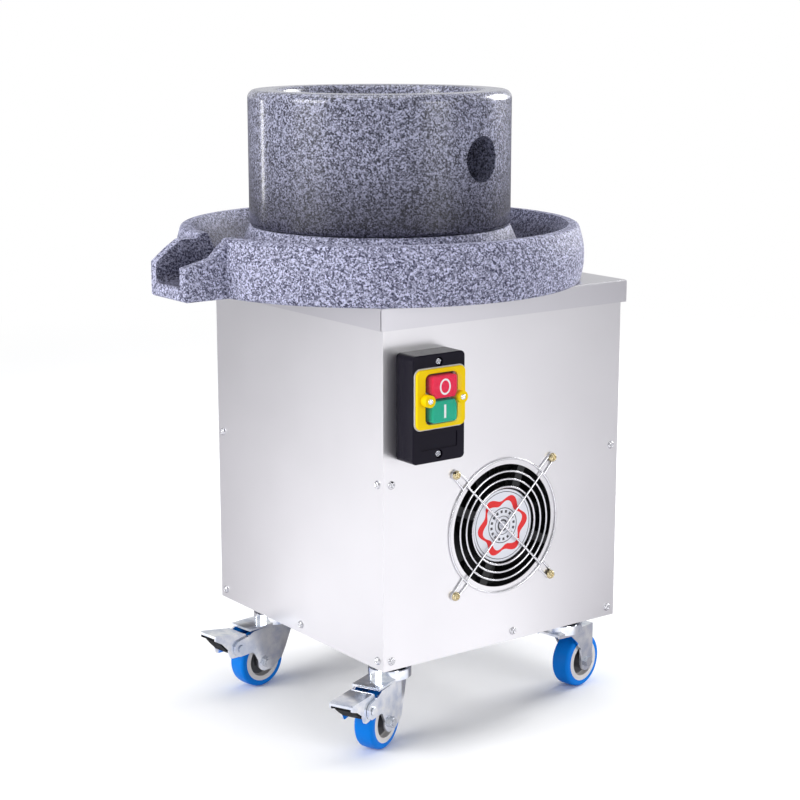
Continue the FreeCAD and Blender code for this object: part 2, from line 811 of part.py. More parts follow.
def motor_shaft():
    z0 = motor_bottom() - SMALL_BEARING_T
    z1 = fast_z() - GEAR_ROOM / 2
    turn = mesh_turn(PINION_TEETH, STAGE_TEETH, 0, MOTOR_ANGLE + 180)
    pinion = gear(FAST_MODULE, PINION_TEETH, MOTOR, z1, FAST_FACE + GEAR_ROOM / 2, turn)
    return joined([post(SMALL_SHAFT_R, MOTOR, z0, z1), pinion])


def motor_rotor():
    middle = (motor_top() + motor_bottom()) / 2
    return ring(STATOR_R_IN - ROTOR_GAP, SMALL_SHAFT_R, MOTOR,
                middle - ROTOR_L / 2, middle + ROTOR_L / 2)


def motor_stator():
    middle = (motor_top() + motor_bottom()) / 2
    return ring(MOTOR_R - MOTOR_WALL, STATOR_R_IN, MOTOR,
                middle - ROTOR_L / 2, middle + ROTOR_L / 2)


def motor_housing():
    z0, z1 = motor_bottom(), motor_top()
    shell = ring(MOTOR_R, MOTOR_R - MOTOR_WALL, MOTOR, z0, z1)
    fins = []
    for i in range(MOTOR_FINS):
        fin = block(MOTOR.x + MOTOR_R - 1, MOTOR.x + MOTOR_R + MOTOR_FIN,
                    MOTOR.y - MOTOR_FIN_T / 2, MOTOR.y + MOTOR_FIN_T / 2,
                    z0 + END_COVER_H / 2, z1 - END_COVER_H / 2)
        fin.rotate(MOTOR, UP, i * 360 / MOTOR_FINS)
        fins.append(fin)
    return joined([shell] + fins)


def motor_end_cover():
    z1 = motor_bottom()
    z0 = z1 - END_COVER_H
    cap = post(MOTOR_R, MOTOR, z0, z1)
    low = edges_near(cap, lambda e: e.Closed and e.CenterOfMass.z < z0 + 1)
    cap = cap.makeFillet(END_COVER_H / 3, low)
    return cap.cut(post(SMALL_BEARING_R, MOTOR, z1 - SMALL_BEARING_T, z1 + 1))


def bearing(outer, bore, centre, z, width):
    return ring(outer, bore + RUNNING, centre, z, z + width)


def shaft_bearings():
    floor = CASE_Z + CASE_FLOOR
    return group([
        bearing(BIG_BEARING_R, SPINDLE_R, SPINDLE, floor - BIG_BEARING_T, BIG_BEARING_T),
        bearing(BIG_BEARING_R, SPINDLE_R, SPINDLE, COVER_Z, BIG_BEARING_T),
        bearing(SMALL_BEARING_R, SMALL_SHAFT_R, COUNTER, floor - SMALL_BEARING_T, SMALL_BEARING_T),
        bearing(SMALL_BEARING_R, SMALL_SHAFT_R, COUNTER, COVER_Z, SMALL_BEARING_T),
        bearing(SMALL_BEARING_R, SMALL_SHAFT_R, MOTOR, floor - SMALL_BEARING_T, SMALL_BEARING_T),
        bearing(SMALL_BEARING_R, SMALL_SHAFT_R, MOTOR, motor_bottom() - SMALL_BEARING_T,
                SMALL_BEARING_T)])


def case_limits():
    """Outer plan limits of the gear case: room round both large gears and the motor pinion."""
    slow_r = SLOW_MODULE * (STAGE_TEETH / 2 + ADDENDUM) + GEAR_ROOM + CASE_WALL
    fast_r = FAST_MODULE * (STAGE_TEETH / 2 + ADDENDUM) + GEAR_ROOM + CASE_WALL
    x0 = SPINDLE_X - slow_r
    x1 = max(COUNTER.x + fast_r, MOTOR.x + SMALL_BEARING_R + CASE_WALL)
    y0 = min(-slow_r, MOTOR.y - SMALL_BEARING_R - CASE_WALL)
    y1 = max(slow_r, COUNTER.y + fast_r)
    return x0, x1, y0, y1


def case_slab(inset, z0, z1, rounding):
    x0, x1, y0, y1 = case_limits()
    corners = [(Vec(x0 + inset, y0 + inset, z0), rounding), (Vec(x1 - inset, y0 + inset, z0), rounding),
               (Vec(x1 - inset, y1 - inset, z0), rounding), (Vec(x0 + inset, y1 - inset, z0), rounding)]
    return slab(corners, Vec(0, 0, z1 - z0))


def case_bolt_places():
    x0, x1, y0, y1 = case_limits()
    inset = CASE_WALL + BOLT_R
    return [Vec(x, y, 0) for x in (x0 + inset, x1 - inset) for y in (y0 + inset, y1 - inset)]


def gearbox_case():
    floor = CASE_Z + CASE_FLOOR
    case = case_slab(0, CASE_Z, COVER_Z, CASE_ROUND)
    case = case.cut(case_slab(CASE_WALL, floor, COVER_Z + 1, CASE_ROUND - CASE_WALL))
    pillars = []
    for place in case_bolt_places():
        pillars.append(post(BOLT_R + CASE_WALL, place, CASE_Z + 1, COVER_Z))
    case = joined([case] + pillars)
    case = case.common(case_slab(0, CASE_Z, COVER_Z, CASE_ROUND))
    for place in case_bolt_places():
        case = case.cut(post(BOLT_R + RUNNING, place, COVER_Z - CASE_BOLT_GRIP - 4, COVER_Z + 1))
    case = case.cut(post(BIG_BEARING_R, SPINDLE, floor - BIG_BEARING_T, floor + 1))
    case = case.cut(post(SMALL_BEARING_R, COUNTER, floor - SMALL_BEARING_T, floor + 1))
    case = case.cut(post(SMALL_BEARING_R, MOTOR, floor - SMALL_BEARING_T, floor + 1))
    return case.cut(post(SMALL_SHAFT_R + 1, MOTOR, CASE_Z - 1, floor))


def gearbox_cover():
    cover = case_slab(0, COVER_Z, PLATE_Z, CASE_ROUND)
    cover = cover.cut(post(BIG_BEARING_R, SPINDLE, COVER_Z - 1, COVER_Z + BIG_BEARING_T))
    cover = cover.cut(post(SMALL_BEARING_R, COUNTER, COVER_Z - 1, COVER_Z + SMALL_BEARING_T))
    cover = cover.cut(post(SPINDLE_R + 1, SPINDLE, COVER_Z, PLATE_Z + 1))
    for place in case_bolt_places():
        cover = cover.cut(post(BOLT_R + RUNNING, place, COVER_Z - 1, PLATE_Z + 1))
    return cover


def motor_capacitor():
    x = RIGHT_X - SHEET - CAPACITOR_R - CAPACITOR_ROOM
    y = CABINET_Y + CAPACITOR_SHIFT
    z = base_z() + BASE_SHEET
    can = post(CAPACITOR_R, Vec(x, y, 0), z, z + CAPACITOR_H)
    rims = edges_near(can, lambda e: e.Closed)
    can = can.makeFillet(1.5, rims)
    tabs = [block(x + side * 6 - 3, x + side * 6 + 3, y - 0.4, y + 0.4,
                  z + CAPACITOR_H - 0.5, z + CAPACITOR_H + 8) for side in (-1, 1)]
    return joined([can] + tabs)


# Fan

def inward(out):
    return FRONT_Y - out


def fan_frame():
    """Square fan body behind the panel: two flanges, round duct, hub plate held by struts."""
    x, z = fan_x(), fan_z()
    back = -SHEET - FAN_D
    front = -SHEET
    flange_front = front_plate(x, z, FAN_W, FAN_W, 5, front - FAN_FLANGE, front)
    flange_back = front_plate(x, z, FAN_W, FAN_W, 5, back, back + FAN_FLANGE)
    duct = front_rod(FAN_W / 2, x, z, back, front)
    body = joined([flange_front, flange_back, duct])
    body = body.cut(front_rod(FAN_BORE_R, x, z, back - 1, front + 1))
    for cx, cz in fan_corners():
        body = body.cut(front_rod(GUARD_SCREW_R + RUNNING, cx, cz, back - 1, front + 1))
    hub = front_rod(FAN_HUB_R, x, z, front - FAN_HUB_T, front)
    struts = []
    for i in range(FAN_STRUTS):
        bar = block(x + FAN_HUB_R - 3, x + FAN_BORE_R + 1, inward(front), inward(front - FAN_HUB_T),
                    z - FAN_STRUT_W / 2, z + FAN_STRUT_W / 2)
        bar.rotate(Vec(x, 0, z), Vec(0, 1, 0), 360 / FAN_STRUTS * i - FAN_STRUT_TURN)
        struts.append(bar)
    pin = front_rod(3, x, z, front - FAN_HUB_T - ROTOR_HUB_D, front - FAN_HUB_T + 1)
    return joined([body, hub, pin] + struts)


def fan_rotor():
    x, z = fan_x(), fan_z()
    front = -SHEET - FAN_HUB_T - 1
    back = front - ROTOR_HUB_D
    hub = front_rod(FAN_HUB_R - 1, x, z, back, front)
    middle = (front + back) / 2
    reach = FAN_BORE_R - BLADE_TIP_GAP
    blades = []
    for i in range(BLADES):
        blade = block(x + FAN_HUB_R - 4, x + reach + 4, inward(middle) - BLADE_T / 2,
                      inward(middle) + BLADE_T / 2, z - BLADE_CHORD / 2, z + BLADE_CHORD / 2)
        blade.rotate(Vec(x, inward(middle), z), Vec(1, 0, 0), BLADE_PITCH)
        blade.rotate(Vec(x, 0, z), Vec(0, 1, 0), 360 / BLADES * i)
        blades.append(blade)
    disc = front_rod(reach, x, z, back - 1, front)
    wheel = joined([hub] + blades).common(disc)
    return wheel.cut(front_rod(3 + RUNNING, x, z, back - 2, front + 1))


def fan_label():
    return front_rod(LABEL_R, fan_x(), fan_z(), -SHEET, -SHEET + LABEL_T)


def finger_guard():
    """Rings on the panel and two crossed wires, with a hairpin round each corner screw."""
    x, z = fan_x(), fan_z()
    radii = [GUARD_INNER_R + GUARD_STEP * i for i in range(GUARD_RINGS)] + [GUARD_OUTER_R]
    low = Vec(x, inward(GUARD_WIRE_R), z)
    high = Vec(x, inward(GUARD_WIRE_R * 2.5), z)
    wires = [Part.makeTorus(radius, GUARD_WIRE_R, low, Vec(0, 1, 0)) for radius in radii]
    for slope in (45, 135):
        along = Vec(math.cos(math.radians(slope)), 0, math.sin(math.radians(slope)))
        wires.append(rod(GUARD_WIRE_R, high - along * GUARD_OUTER_R, high + along * GUARD_OUTER_R))
        wires += [hairpin(low, along), hairpin(low, along * -1)]
    return joined(wires)


def hairpin(centre, along):
    """Wire from the outer ring round a corner screw and back, wider at the ring."""
    side = along.cross(Vec(0, 1, 0))
    screw_r = FAN_PITCH / math.sqrt(2)
    run = screw_r - GUARD_OUTER_R
    turn = math.atan2(LOOP_SPREAD, -run) - math.acos(LOOP_R / math.hypot(run, LOOP_SPREAD))
    screw = centre + along * screw_r
    roots = [centre + along * GUARD_OUTER_R + side * (hand * LOOP_SPREAD) for hand in (1, -1)]
    feet = [screw + along * (LOOP_R * math.cos(turn)) + side * (hand * LOOP_R * math.sin(turn))
            for hand in (1, -1)]
    bend = Part.Arc(feet[0], screw + along * LOOP_R, feet[1]).toShape()
    path = Part.Wire([Part.makeLine(roots[0], feet[0]), bend, Part.makeLine(feet[1], roots[1])])
    section = Part.Wire(Part.makeCircle(GUARD_WIRE_R, roots[0], feet[0] - roots[0]))
    return path.makePipeShell([section], True, False)


def guard_screws():
    screws = []
    base = GUARD_WIRE_R * 2
    for x, z in fan_corners():
        shank = front_rod(GUARD_SCREW_R, x, z, base - GUARD_SCREW_LENGTH, base)
        cap = front_rod(GUARD_SCREW_HEAD_R, x, z, base, base + GUARD_SCREW_HEAD_H)
        rim = edges_near(cap, lambda e: e.Closed and e.CenterOfMass.y < inward(base + 1))
        cap = cap.makeFillet(GUARD_SCREW_HEAD_H * 0.6, rim)
        screws.append(joined([shank, cap]))
    return group(screws)


# Switch

def bezel_z():
    return switch_z() + BEZEL_RAISE


def box_screw_heights():
    reach = SWITCH_H / 2 - BOX_SCREW_INSET
    return (switch_z() - reach, switch_z() + reach)


def switch_box():
    x, z = switch_x(), switch_z()
    box = front_plate(x, z, SWITCH_W, SWITCH_H, SWITCH_ROUND, 0, SWITCH_D)

    def front_edge(edge):
        return edge.BoundBox.YMax < inward(SWITCH_D) + 0.01
    box = box.makeFillet(SWITCH_LIP, edges_near(box, front_edge))
    inner_h = SWITCH_H - 2 * (BOX_SCREW_INSET + BOX_SCREW_HEAD_R + SWITCH_WALL)
    inside = front_plate(x, z, SWITCH_W - 2 * SWITCH_WALL, inner_h, 2,
                         SWITCH_WALL, SWITCH_D - SWITCH_WALL)
    box = box.cut(inside)
    mouth = front_plate(x, bezel_z(), CONTACT_W + 2 * FREE, CONTACT_H + 2 * FREE, 1, SWITCH_WALL, SWITCH_D + 1)
    box = box.cut(mouth)
    box = box.cut(front_rod(GLAND_R, x, z, -1, SWITCH_WALL + 1))
    for height in box_screw_heights():
        box = box.cut(front_rod(BOX_SCREW_R + RUNNING, x, height, -1, SWITCH_D + 1))
        box = box.cut(front_rod(BOX_SCREW_HEAD_R + FREE, x, height, SWITCH_D - SWITCH_WALL, SWITCH_D + 1))
    name_z = (z - SWITCH_H / 2 + bezel_z() - BEZEL_H / 2) / 2 + 2
    bare = front_plate(x, name_z + 1, NAME_W, NAME_H, 1.5, SWITCH_D - NAME_DEPTH, SWITCH_D + 1)
    return box.cut(bare)


def switch_screws():
    """Two case screws sunk in the box and two small ones on the ears."""
    screws = []
    head = SWITCH_D - SWITCH_WALL
    for z in box_screw_heights():
        screws.append(joined([front_rod(BOX_SCREW_R, switch_x(), z, -SHEET - 4, head),
                              front_rod(BOX_SCREW_HEAD_R, switch_x(), z, head, head + 1.8)]))
    face = ear_face()
    for side in (-1, 1):
        x = switch_x() + side * EAR_SHIFT
        screws.append(joined([front_rod(EAR_SCREW_R, x, bezel_z(), face - EAR_RISE, face),
                              front_rod(EAR_SCREW_HEAD_R, x, bezel_z(), face,
                                        face + EAR_SCREW_HEAD_H)]))
    return group(screws)


def bezel_face():
    return SWITCH_D + FLANGE_T + BEZEL_T


def ear_face():
    return bezel_face() + EAR_RISE - EAR_SCREW_HEAD_H


def switch_bezel():
    x, z = switch_x(), bezel_z()
    plate = front_plate(x, z, BEZEL_W, BEZEL_H, BEZEL_ROUND, SWITCH_D + FLANGE_T, bezel_face())

    def front_edge(edge):
        return edge.BoundBox.YMax < inward(bezel_face()) + 0.01
    plate = plate.makeFillet(BEZEL_T * 0.4, edges_near(plate, front_edge))
    opening = front_plate(x, z, WINDOW_W + 2 * WINDOW_GAP, WINDOW_H + 2 * WINDOW_GAP, WINDOW_ROUND,
                          SWITCH_D, bezel_face() + 1)
    plate = plate.cut(opening)
    ears = []
    for side in (-1, 1):
        ears.append(front_rod(EAR_R, x + side * EAR_SHIFT, z, SWITCH_D + FLANGE_T, ear_face()))
    plate = joined([plate] + ears)
    for side in (-1, 1):
        plate = plate.cut(front_rod(EAR_SCREW_R, x + side * EAR_SHIFT, z, SWITCH_D, ear_face() + 1))
    return plate


def window_top():
    return bezel_face() + WINDOW_RISE


def window_block(inset, out0, out1):
    """Bubble outline, drawn in by inset, with a hollow on each side that clears the ears."""
    x, z = switch_x(), bezel_z()
    body = front_plate(x, z, WINDOW_W - 2 * inset, WINDOW_H - 2 * inset, WINDOW_ROUND - inset, out0, out1)
    for side in (-1, 1):
        body = body.cut(front_rod(EAR_R + WINDOW_GAP + inset, x + side * EAR_SHIFT, z, out0 - 1, out1 + 1))
    return body


def switch_window():
    x, z = switch_x(), bezel_z()
    flange = front_plate(x, z, BEZEL_W + 2 * FLANGE_MARGIN, BEZEL_H + 2 * FLANGE_MARGIN,
                         BEZEL_ROUND + FLANGE_MARGIN, SWITCH_D, SWITCH_D + FLANGE_T)
    bubble = window_block(0, SWITCH_D, window_top())

    def front_edge(edge):
        return edge.BoundBox.YMax < inward(window_top()) + 0.01
    bubble = bubble.makeFillet(WINDOW_T * 0.9, edges_near(bubble, front_edge))
    window = joined([flange, bubble])
    window = window.cut(window_block(WINDOW_T, SWITCH_D - 1, window_top() - WINDOW_T))
    for side in (-1, 1):
        hole = front_rod(EAR_SCREW_R + RUNNING, x + side * EAR_SHIFT, z, SWITCH_D - 1, SWITCH_D + FLANGE_T + 1)
        window = window.cut(hole)
    return window


def button_face():
    return window_top() - WINDOW_T - BUTTON_GAP


def button_z(side):
    return bezel_z() + side * (BUTTON_H + BUTTON_SPLIT) / 2


def push_button(side):
    """Rounded key on a stem; the stem slides in the contact block."""
    face = button_face()
    key = front_plate(switch_x(), button_z(side), BUTTON_W, BUTTON_H, BUTTON_ROUND * 2,
                      face - BUTTON_D, face)

    def front_edge(edge):
        return edge.BoundBox.YMax < inward(face) + 0.01
    key = key.makeFillet(BUTTON_ROUND, edges_near(key, front_edge))
    notch_r = EAR_R + WINDOW_GAP + WINDOW_T + BUTTON_GAP
    for hand in (-1, 1):
        key = key.cut(front_rod(notch_r, switch_x() + hand * EAR_SHIFT, bezel_z(), face - BUTTON_D - 1, face + 1))
    stem = front_rod(BUTTON_STEM_R, switch_x(), button_z(side), contact_face() - BUTTON_D, face - BUTTON_D + 1)
    return joined([key, stem])


def contact_face():
    return button_face() - BUTTON_D - BUTTON_TRAVEL - FREE


def contact_block():
    x, z = switch_x(), bezel_z()
    body = front_plate(x, z, CONTACT_W, CONTACT_H, 1, SWITCH_WALL, contact_face())
    for side in (-1, 1):
        guide = front_rod(BUTTON_STEM_R + RUNNING * 2, x, button_z(side),
                          contact_face() - BUTTON_D - BUTTON_TRAVEL - FREE, contact_face() + 1)
        body = body.cut(guide)
    return body


# Casters, built with the swivel axis at the origin and the trail along +X

def caster_places():
    """name: (swivel centre, trail heading, braked, lift of the pedal at rest)"""
    left = LEFT_X + CASTER_SIDE_INSET
    right = RIGHT_X - CASTER_SIDE_INSET
    front = FRONT_Y + CASTER_FRONT_INSET
    rear = REAR_Y - CASTER_REAR_INSET
    return {
        "front_left": (Vec(left, front, 0), -156.0, True, 0.0),
        "front_right": (Vec(right, front, 0), 12.0, False, 0.0),
        "rear_left": (Vec(left, rear, 0), -172.0, True, PEDAL_LIFT),
        "rear_right": (Vec(right, rear, 0), 20.0, False, 0.0)}


def caster_bolt_places():
    half = CASTER_BOLT_PITCH / 2
    places = []
    for centre, _, _, _ in caster_places().values():
        places += [centre + Vec(sx * half, sy * half, 0) for sx in (-1, 1) for sy in (-1, 1)]
    return places


def seated(shape, place):
    centre, heading, _, _ = place
    shape = shape.copy()
    shape.rotate(Vec(0, 0, 0), UP, heading)
    shape.translate(centre)
    return shape


def swivel_seat():
    return FORK_TOP + FREE


def caster_plate(centre):
    """Square top plate, race drum below it and the kingpin with its head under the fork."""
    half = CASTER_PLATE / 2
    z = base_z() - CASTER_PLATE_T
    corners = [(Vec(-half, -half, z), CASTER_PLATE_ROUND), (Vec(half, -half, z), CASTER_PLATE_ROUND),
               (Vec(half, half, z), CASTER_PLATE_ROUND), (Vec(-half, half, z), CASTER_PLATE_ROUND)]
    plate = slab(corners, Vec(0, 0, CASTER_PLATE_T))
    origin = Vec(0, 0, 0)
    drum = post(RACE_R, origin, swivel_seat(), z)
    pin = post(KING_R, origin, FORK_TOP - FORK_SHEET - FREE, swivel_seat())
    head = post(KING_HEAD_R, origin, FORK_TOP - FORK_SHEET - FREE - KING_HEAD_T,
                FORK_TOP - FORK_SHEET - FREE)
    plate = joined([plate, drum, pin, head])
    plate.translate(centre)
    for bolt in caster_bolt_places():
        plate = plate.cut(post(BOLT_R + RUNNING, bolt, z - 1, base_z() + 1))
    return plate


def caster_plates():
    return group([caster_plate(centre) for centre, _, _, _ in caster_places().values()])


def leg_outline(braked):
    """Side view of one fork leg as (x, z, radius) corners."""
    top = FORK_TOP
    axle = TRAIL
    low = WHEEL_R - BOSS_R
    boss = [(axle - BOSS_R, low, BOSS_R - 0.2), (axle + BOSS_R, low, BOSS_R - 0.2)]
    if not braked:
        return [(-PLAIN_REAR, top, 0), (-PLAIN_REAR, top - 3, 0), (-3, top - 5, 5),
                (axle - 15, top - 13, 8), (axle - 9, top - 22, 6)] + boss + [(axle + BOSS_R, top, 3)]
    tip = axle + EAR_LENGTH
    ear_z = top - EAR_DROP
    return [(3, top, 0), (3, WHEEL_R, 0)] + boss + [
        (axle + BOSS_R + 1, WHEEL_R + 3, 3),
        (axle + BOSS_R + 6, ear_z - EAR_TIP_R + 1, 4),
        (tip + EAR_TIP_R, ear_z - EAR_TIP_R, EAR_TIP_R - 0.5),
        (tip + EAR_TIP_R, ear_z + EAR_TIP_R - 1, EAR_TIP_R - 1.5),
        (axle + 20, top - 6, 4), (axle + 14, top - 3, 3), (LEG_SHOULDER, top - 2, 2), (14, top, 3)]


def wing_outline():
    top = FORK_TOP
    return [(3, top, 0), (-FORK_REAR, top, 0), (-FORK_REAR, top - 10, 4), (-5, top - 27, 8),
            (3, WHEEL_R - 1, 0)]


def side_slab(corners, y0, y1):
    return slab([(Vec(x, y0, z), radius) for x, z, radius in corners], Vec(0, y1 - y0, 0))


def fork(place):
    """Pressed fork: swivel cup, crown plate and two legs, with brake ears where braked."""
    braked = place[2]
    inner = FORK_GAP / 2
    outer = inner + FORK_SHEET
    origin = Vec(0, 0, 0)
    pieces = []
    for side in (-1, 1):
        y0, y1 = sorted((side * inner, side * outer))
        pieces.append(side_slab(leg_outline(braked), y0, y1))
        if braked:
            wing = side_slab(wing_outline(), y0, y1)
            wing.rotate(Vec(3, side * outer, 0), UP, side * FORK_WING_TURN)
            pieces.append(wing)
    front = CROWN_FRONT if braked else TRAIL + BOSS_R
    rear = 3 if braked else PLAIN_REAR
    crown = block(-rear, front, -outer, outer, FORK_TOP - FORK_SHEET, FORK_TOP)
    disc = post(CUP_R, origin, FORK_TOP - FORK_SHEET, FORK_TOP)
    wall = ring(CUP_R, CUP_R - CUP_SHEET, origin, FORK_TOP - 0.5, FORK_TOP + CUP_H)
    body = joined([crown, disc, wall] + pieces)
    body = body.cut(post(KING_R + RUNNING, origin, FORK_TOP - FORK_SHEET - 1, FORK_TOP + 1))
    axle = rod(AXLE_R + RUNNING, Vec(TRAIL, -outer - 1, WHEEL_R), Vec(TRAIL, outer + 1, WHEEL_R))
    body = body.cut(axle)
    if braked:
        x, z = pedal_pivot()
        body = body.cut(rod(RIVET_R + RUNNING, Vec(x, -outer - 1, z), Vec(x, outer + 1, z)))
    return seated(body, place)


def wheel_ring(corners, place):
    """Part turned about the axle from (r, across, radius) corners."""
    wire = outline([(Vec(TRAIL + r, y, WHEEL_R), radius) for r, y, radius in corners])
    ring_body = Part.Face(wire).revolve(Vec(TRAIL, 0, WHEEL_R), Vec(0, 1, 0), 360)
    return seated(ring_body, place)


def tyre(place):
    half = TYRE_W / 2
    inner = WHEEL_R - TYRE_DEPTH
    return wheel_ring([(inner, -half, 0), (WHEEL_R - 0.6, -half, TYRE_ROUND), (WHEEL_R, 0, TYRE_CROWN),
                       (WHEEL_R - 0.6, half, TYRE_ROUND), (inner, half, 0)], place)


def hub(place):
    half = TYRE_W / 2
    boss = HUB_W / 2
    rim = WHEEL_R - TYRE_DEPTH
    web = HUB_WEB / 2
    bore = AXLE_R + RUNNING
    return wheel_ring([(bore, -boss, 0), (HUB_BOSS_R, -boss, 0), (HUB_BOSS_R, -web, 1),
                       (rim - HUB_RIM, -web, 1), (rim - HUB_RIM, -half - 0.4, 0.6), (rim, -half, 0),
                       (rim, half, 0), (rim - HUB_RIM, half + 0.4, 0.6), (rim - HUB_RIM, web, 1),
                       (HUB_BOSS_R, web, 1), (HUB_BOSS_R, boss, 0), (bore, boss, 0)], place)


def axle(place):
    outer = FORK_GAP / 2 + FORK_SHEET
    bolt = rod(AXLE_R, Vec(TRAIL, -outer, WHEEL_R), Vec(TRAIL, outer + AXLE_HEAD_T + 1, WHEEL_R))
    head = hexagon(AXLE_HEAD_R, Vec(TRAIL, -outer - AXLE_HEAD_T, WHEEL_R), Vec(0, AXLE_HEAD_T, 0))
    nut = hexagon(AXLE_HEAD_R, Vec(TRAIL, outer, WHEEL_R), Vec(0, AXLE_HEAD_T, 0))
    return seated(joined([bolt, head, nut]), place)


def pedal_pivot():
    return TRAIL + EAR_LENGTH, FORK_TOP - EAR_DROP


def pedal_outline():
    """Side view of a pedal cheek as (x, z, radius) corners, pivot lobe inside the fork ear."""
    x, z = pedal_pivot()
    top = PEDAL_TOP
    return [(x - 6, top, 3), (PEDAL_REACH, top, 2), (PEDAL_REACH, top - 5, 1.5),
            (x + 22, top - 8, 3), (x + 14, top - 14, 5), (x + 9.5, z - 9, 3.5), (x + 1, z - 8, 5),
            (x - 6, z - 2, 4)]


def brake_pedal(place):
    """Bent channel: a top plate and two cheeks between the fork ears, on a rivet."""
    x, z = pedal_pivot()
    outer = FORK_GAP / 2 - FREE
    inner = outer - PEDAL_SHEET
    channel = side_slab(pedal_outline(), -outer, outer)
    space = side_slab([(x - 20, top_inner(), 0), (PEDAL_REACH + 5, top_inner(), 0),
                       (PEDAL_REACH + 5, 0, 0), (x - 20, 0, 0)], -inner, inner)
    channel = channel.cut(space)
    reach = FORK_GAP / 2 + FORK_SHEET
    rivet = rod(RIVET_R, Vec(x, -reach, z), Vec(x, reach, z))
    pieces = [channel, rivet]
    for side in (-1, 1):
        pieces.append(rod(RIVET_HEAD_R, Vec(x, side * (reach + FREE), z),
                          Vec(x, side * (reach + FREE + RIVET_HEAD_T), z)))
        pieces.append(rod(RIVET_R, Vec(x, side * reach, z), Vec(x, side * (reach + FREE), z)))
    lip = block(PEDAL_REACH - 4, PEDAL_REACH, -outer, outer, PEDAL_TOP - 3, PEDAL_TOP - PEDAL_SHEET / 2)
    return seated(lifted(joined(pieces + [lip]), place), place)


def lifted(shape, place):
    """Shape turned up about the pedal's pivot by the lift that the caster rests at."""
    x, z = pedal_pivot()
    shape.rotate(Vec(x, 0, z), Vec(0, 1, 0), -place[3])
    return shape


def top_inner():
    return PEDAL_TOP - PEDAL_SHEET


def brake_shoe(place):
    """Moulded shoe under the pedal; pressed down, its heel stops just clear of the tread."""
    x, z = pedal_pivot()
    half = FORK_GAP / 2 - FREE - PEDAL_SHEET
    top = top_inner()
    shoe = side_slab([(x + 4, top, 0), (PEDAL_REACH - 6, top, 2), (PEDAL_REACH - 6, top - 6, 3),
                      (x + 18, top - 11, 4), (x + 10, z - 5, 4), (x + 4, z - 4, 1)], -half, half)
    tread = rod(WHEEL_R + SHOE_GAP, Vec(TRAIL, -half - 1, WHEEL_R), Vec(TRAIL, half + 1, WHEEL_R))
    tread.rotate(Vec(x, 0, z), Vec(0, 1, 0), -PEDAL_PRESS)
    return seated(lifted(shoe.cut(tread), place), place)


def hex_bolts():
    """Bolts of the caster plates, nuts above the base sheet, and of the gear case."""
    bolts = []
    low = base_z() - CASTER_PLATE_T
    high = base_z() + BASE_SHEET
    for place in caster_bolt_places():
        bolts.append(joined([post(BOLT_R, place, low, high + BOLT_HEAD_T),
                             hexagon(BOLT_HEAD_R, place + UP * (low - BOLT_HEAD_T), UP * BOLT_HEAD_T),
                             hexagon(BOLT_HEAD_R, place + UP * high, UP * BOLT_HEAD_T)]))
    for place in case_bolt_places():
        bolts.append(joined([post(BOLT_R, place, COVER_Z - CASE_BOLT_GRIP, SHEET_TOP - SLIP),
                             post(BOLT_HEAD_R, place, SHEET_TOP - BOLT_HEAD_T, SHEET_TOP - SLIP)]))
    return group(bolts)


def parts():
    nodes = {
        "runner_stone": runner_stone(),
        "runner_driver": runner_driver(),
        "bed_stone": bed_stone(),
        "bed_bush": bed_bush(),
        "spindle": spindle(),
        "output_gear": output_gear(),
        "countershaft": countershaft(),
        "motor_shaft": motor_shaft(),
        "motor_rotor": motor_rotor(),
        "motor_stator": motor_stator(),
        "motor_housing": motor_housing(),
        "motor_end_cover": motor_end_cover(),
        "motor_capacitor": motor_capacitor(),
        "shaft_bearings": shaft_bearings(),
        "gearbox_case": gearbox_case(),
        "gearbox_cover": gearbox_cover(),
        "mounting_plate": mounting_plate(),
        "top_cover": top_cover(),
        "base_plate": base_plate(),
        "corner_posts": corner_posts(),
        "front_panel": front_panel(),
        "rear_panel": rear_panel(),
        "left_panel": left_panel(),
        "right_panel": right_panel(),
        "panel_screws": panel_screws(),
        "cable_gland": cable_gland(),
        "fan_frame": fan_frame(),
        "fan_rotor": fan_rotor(),
        "fan_label": fan_label(),
        "finger_guard": finger_guard(),
        "guard_screws": guard_screws(),
        "switch_box": switch_box(),
        "switch_bezel": switch_bezel(),
        "switch_window": switch_window(),
        "stop_button": push_button(1),
        "start_button": push_button(-1),
        "contact_block": contact_block(),
        "switch_screws": switch_screws(),
        "caster_plates": caster_plates(),
        "hex_bolts": hex_bolts()}
    for name, place in caster_places().items():
        nodes["fork_" + name] = fork(place)
        nodes["tyre_" + name] = tyre(place)
        nodes["hub_" + name] = hub(place)
        nodes["axle_" + name] = axle(place)
        if place[2]:
            nodes["pedal_" + name] = brake_pedal(place)
            nodes["shoe_" + name] = brake_shoe(place)
    return nodes


os.makedirs("parts", exist_ok=True)
for node, shape in parts().items():
    shape.exportStep("parts/" + node + ".step")
    print(node, len(shape.Solids), "solids", round(shape.Volume / 1000, 2), "cm3", shape.isValid())
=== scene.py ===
import math
import bpy
import numpy as np
from mathutils import Matrix, Vector


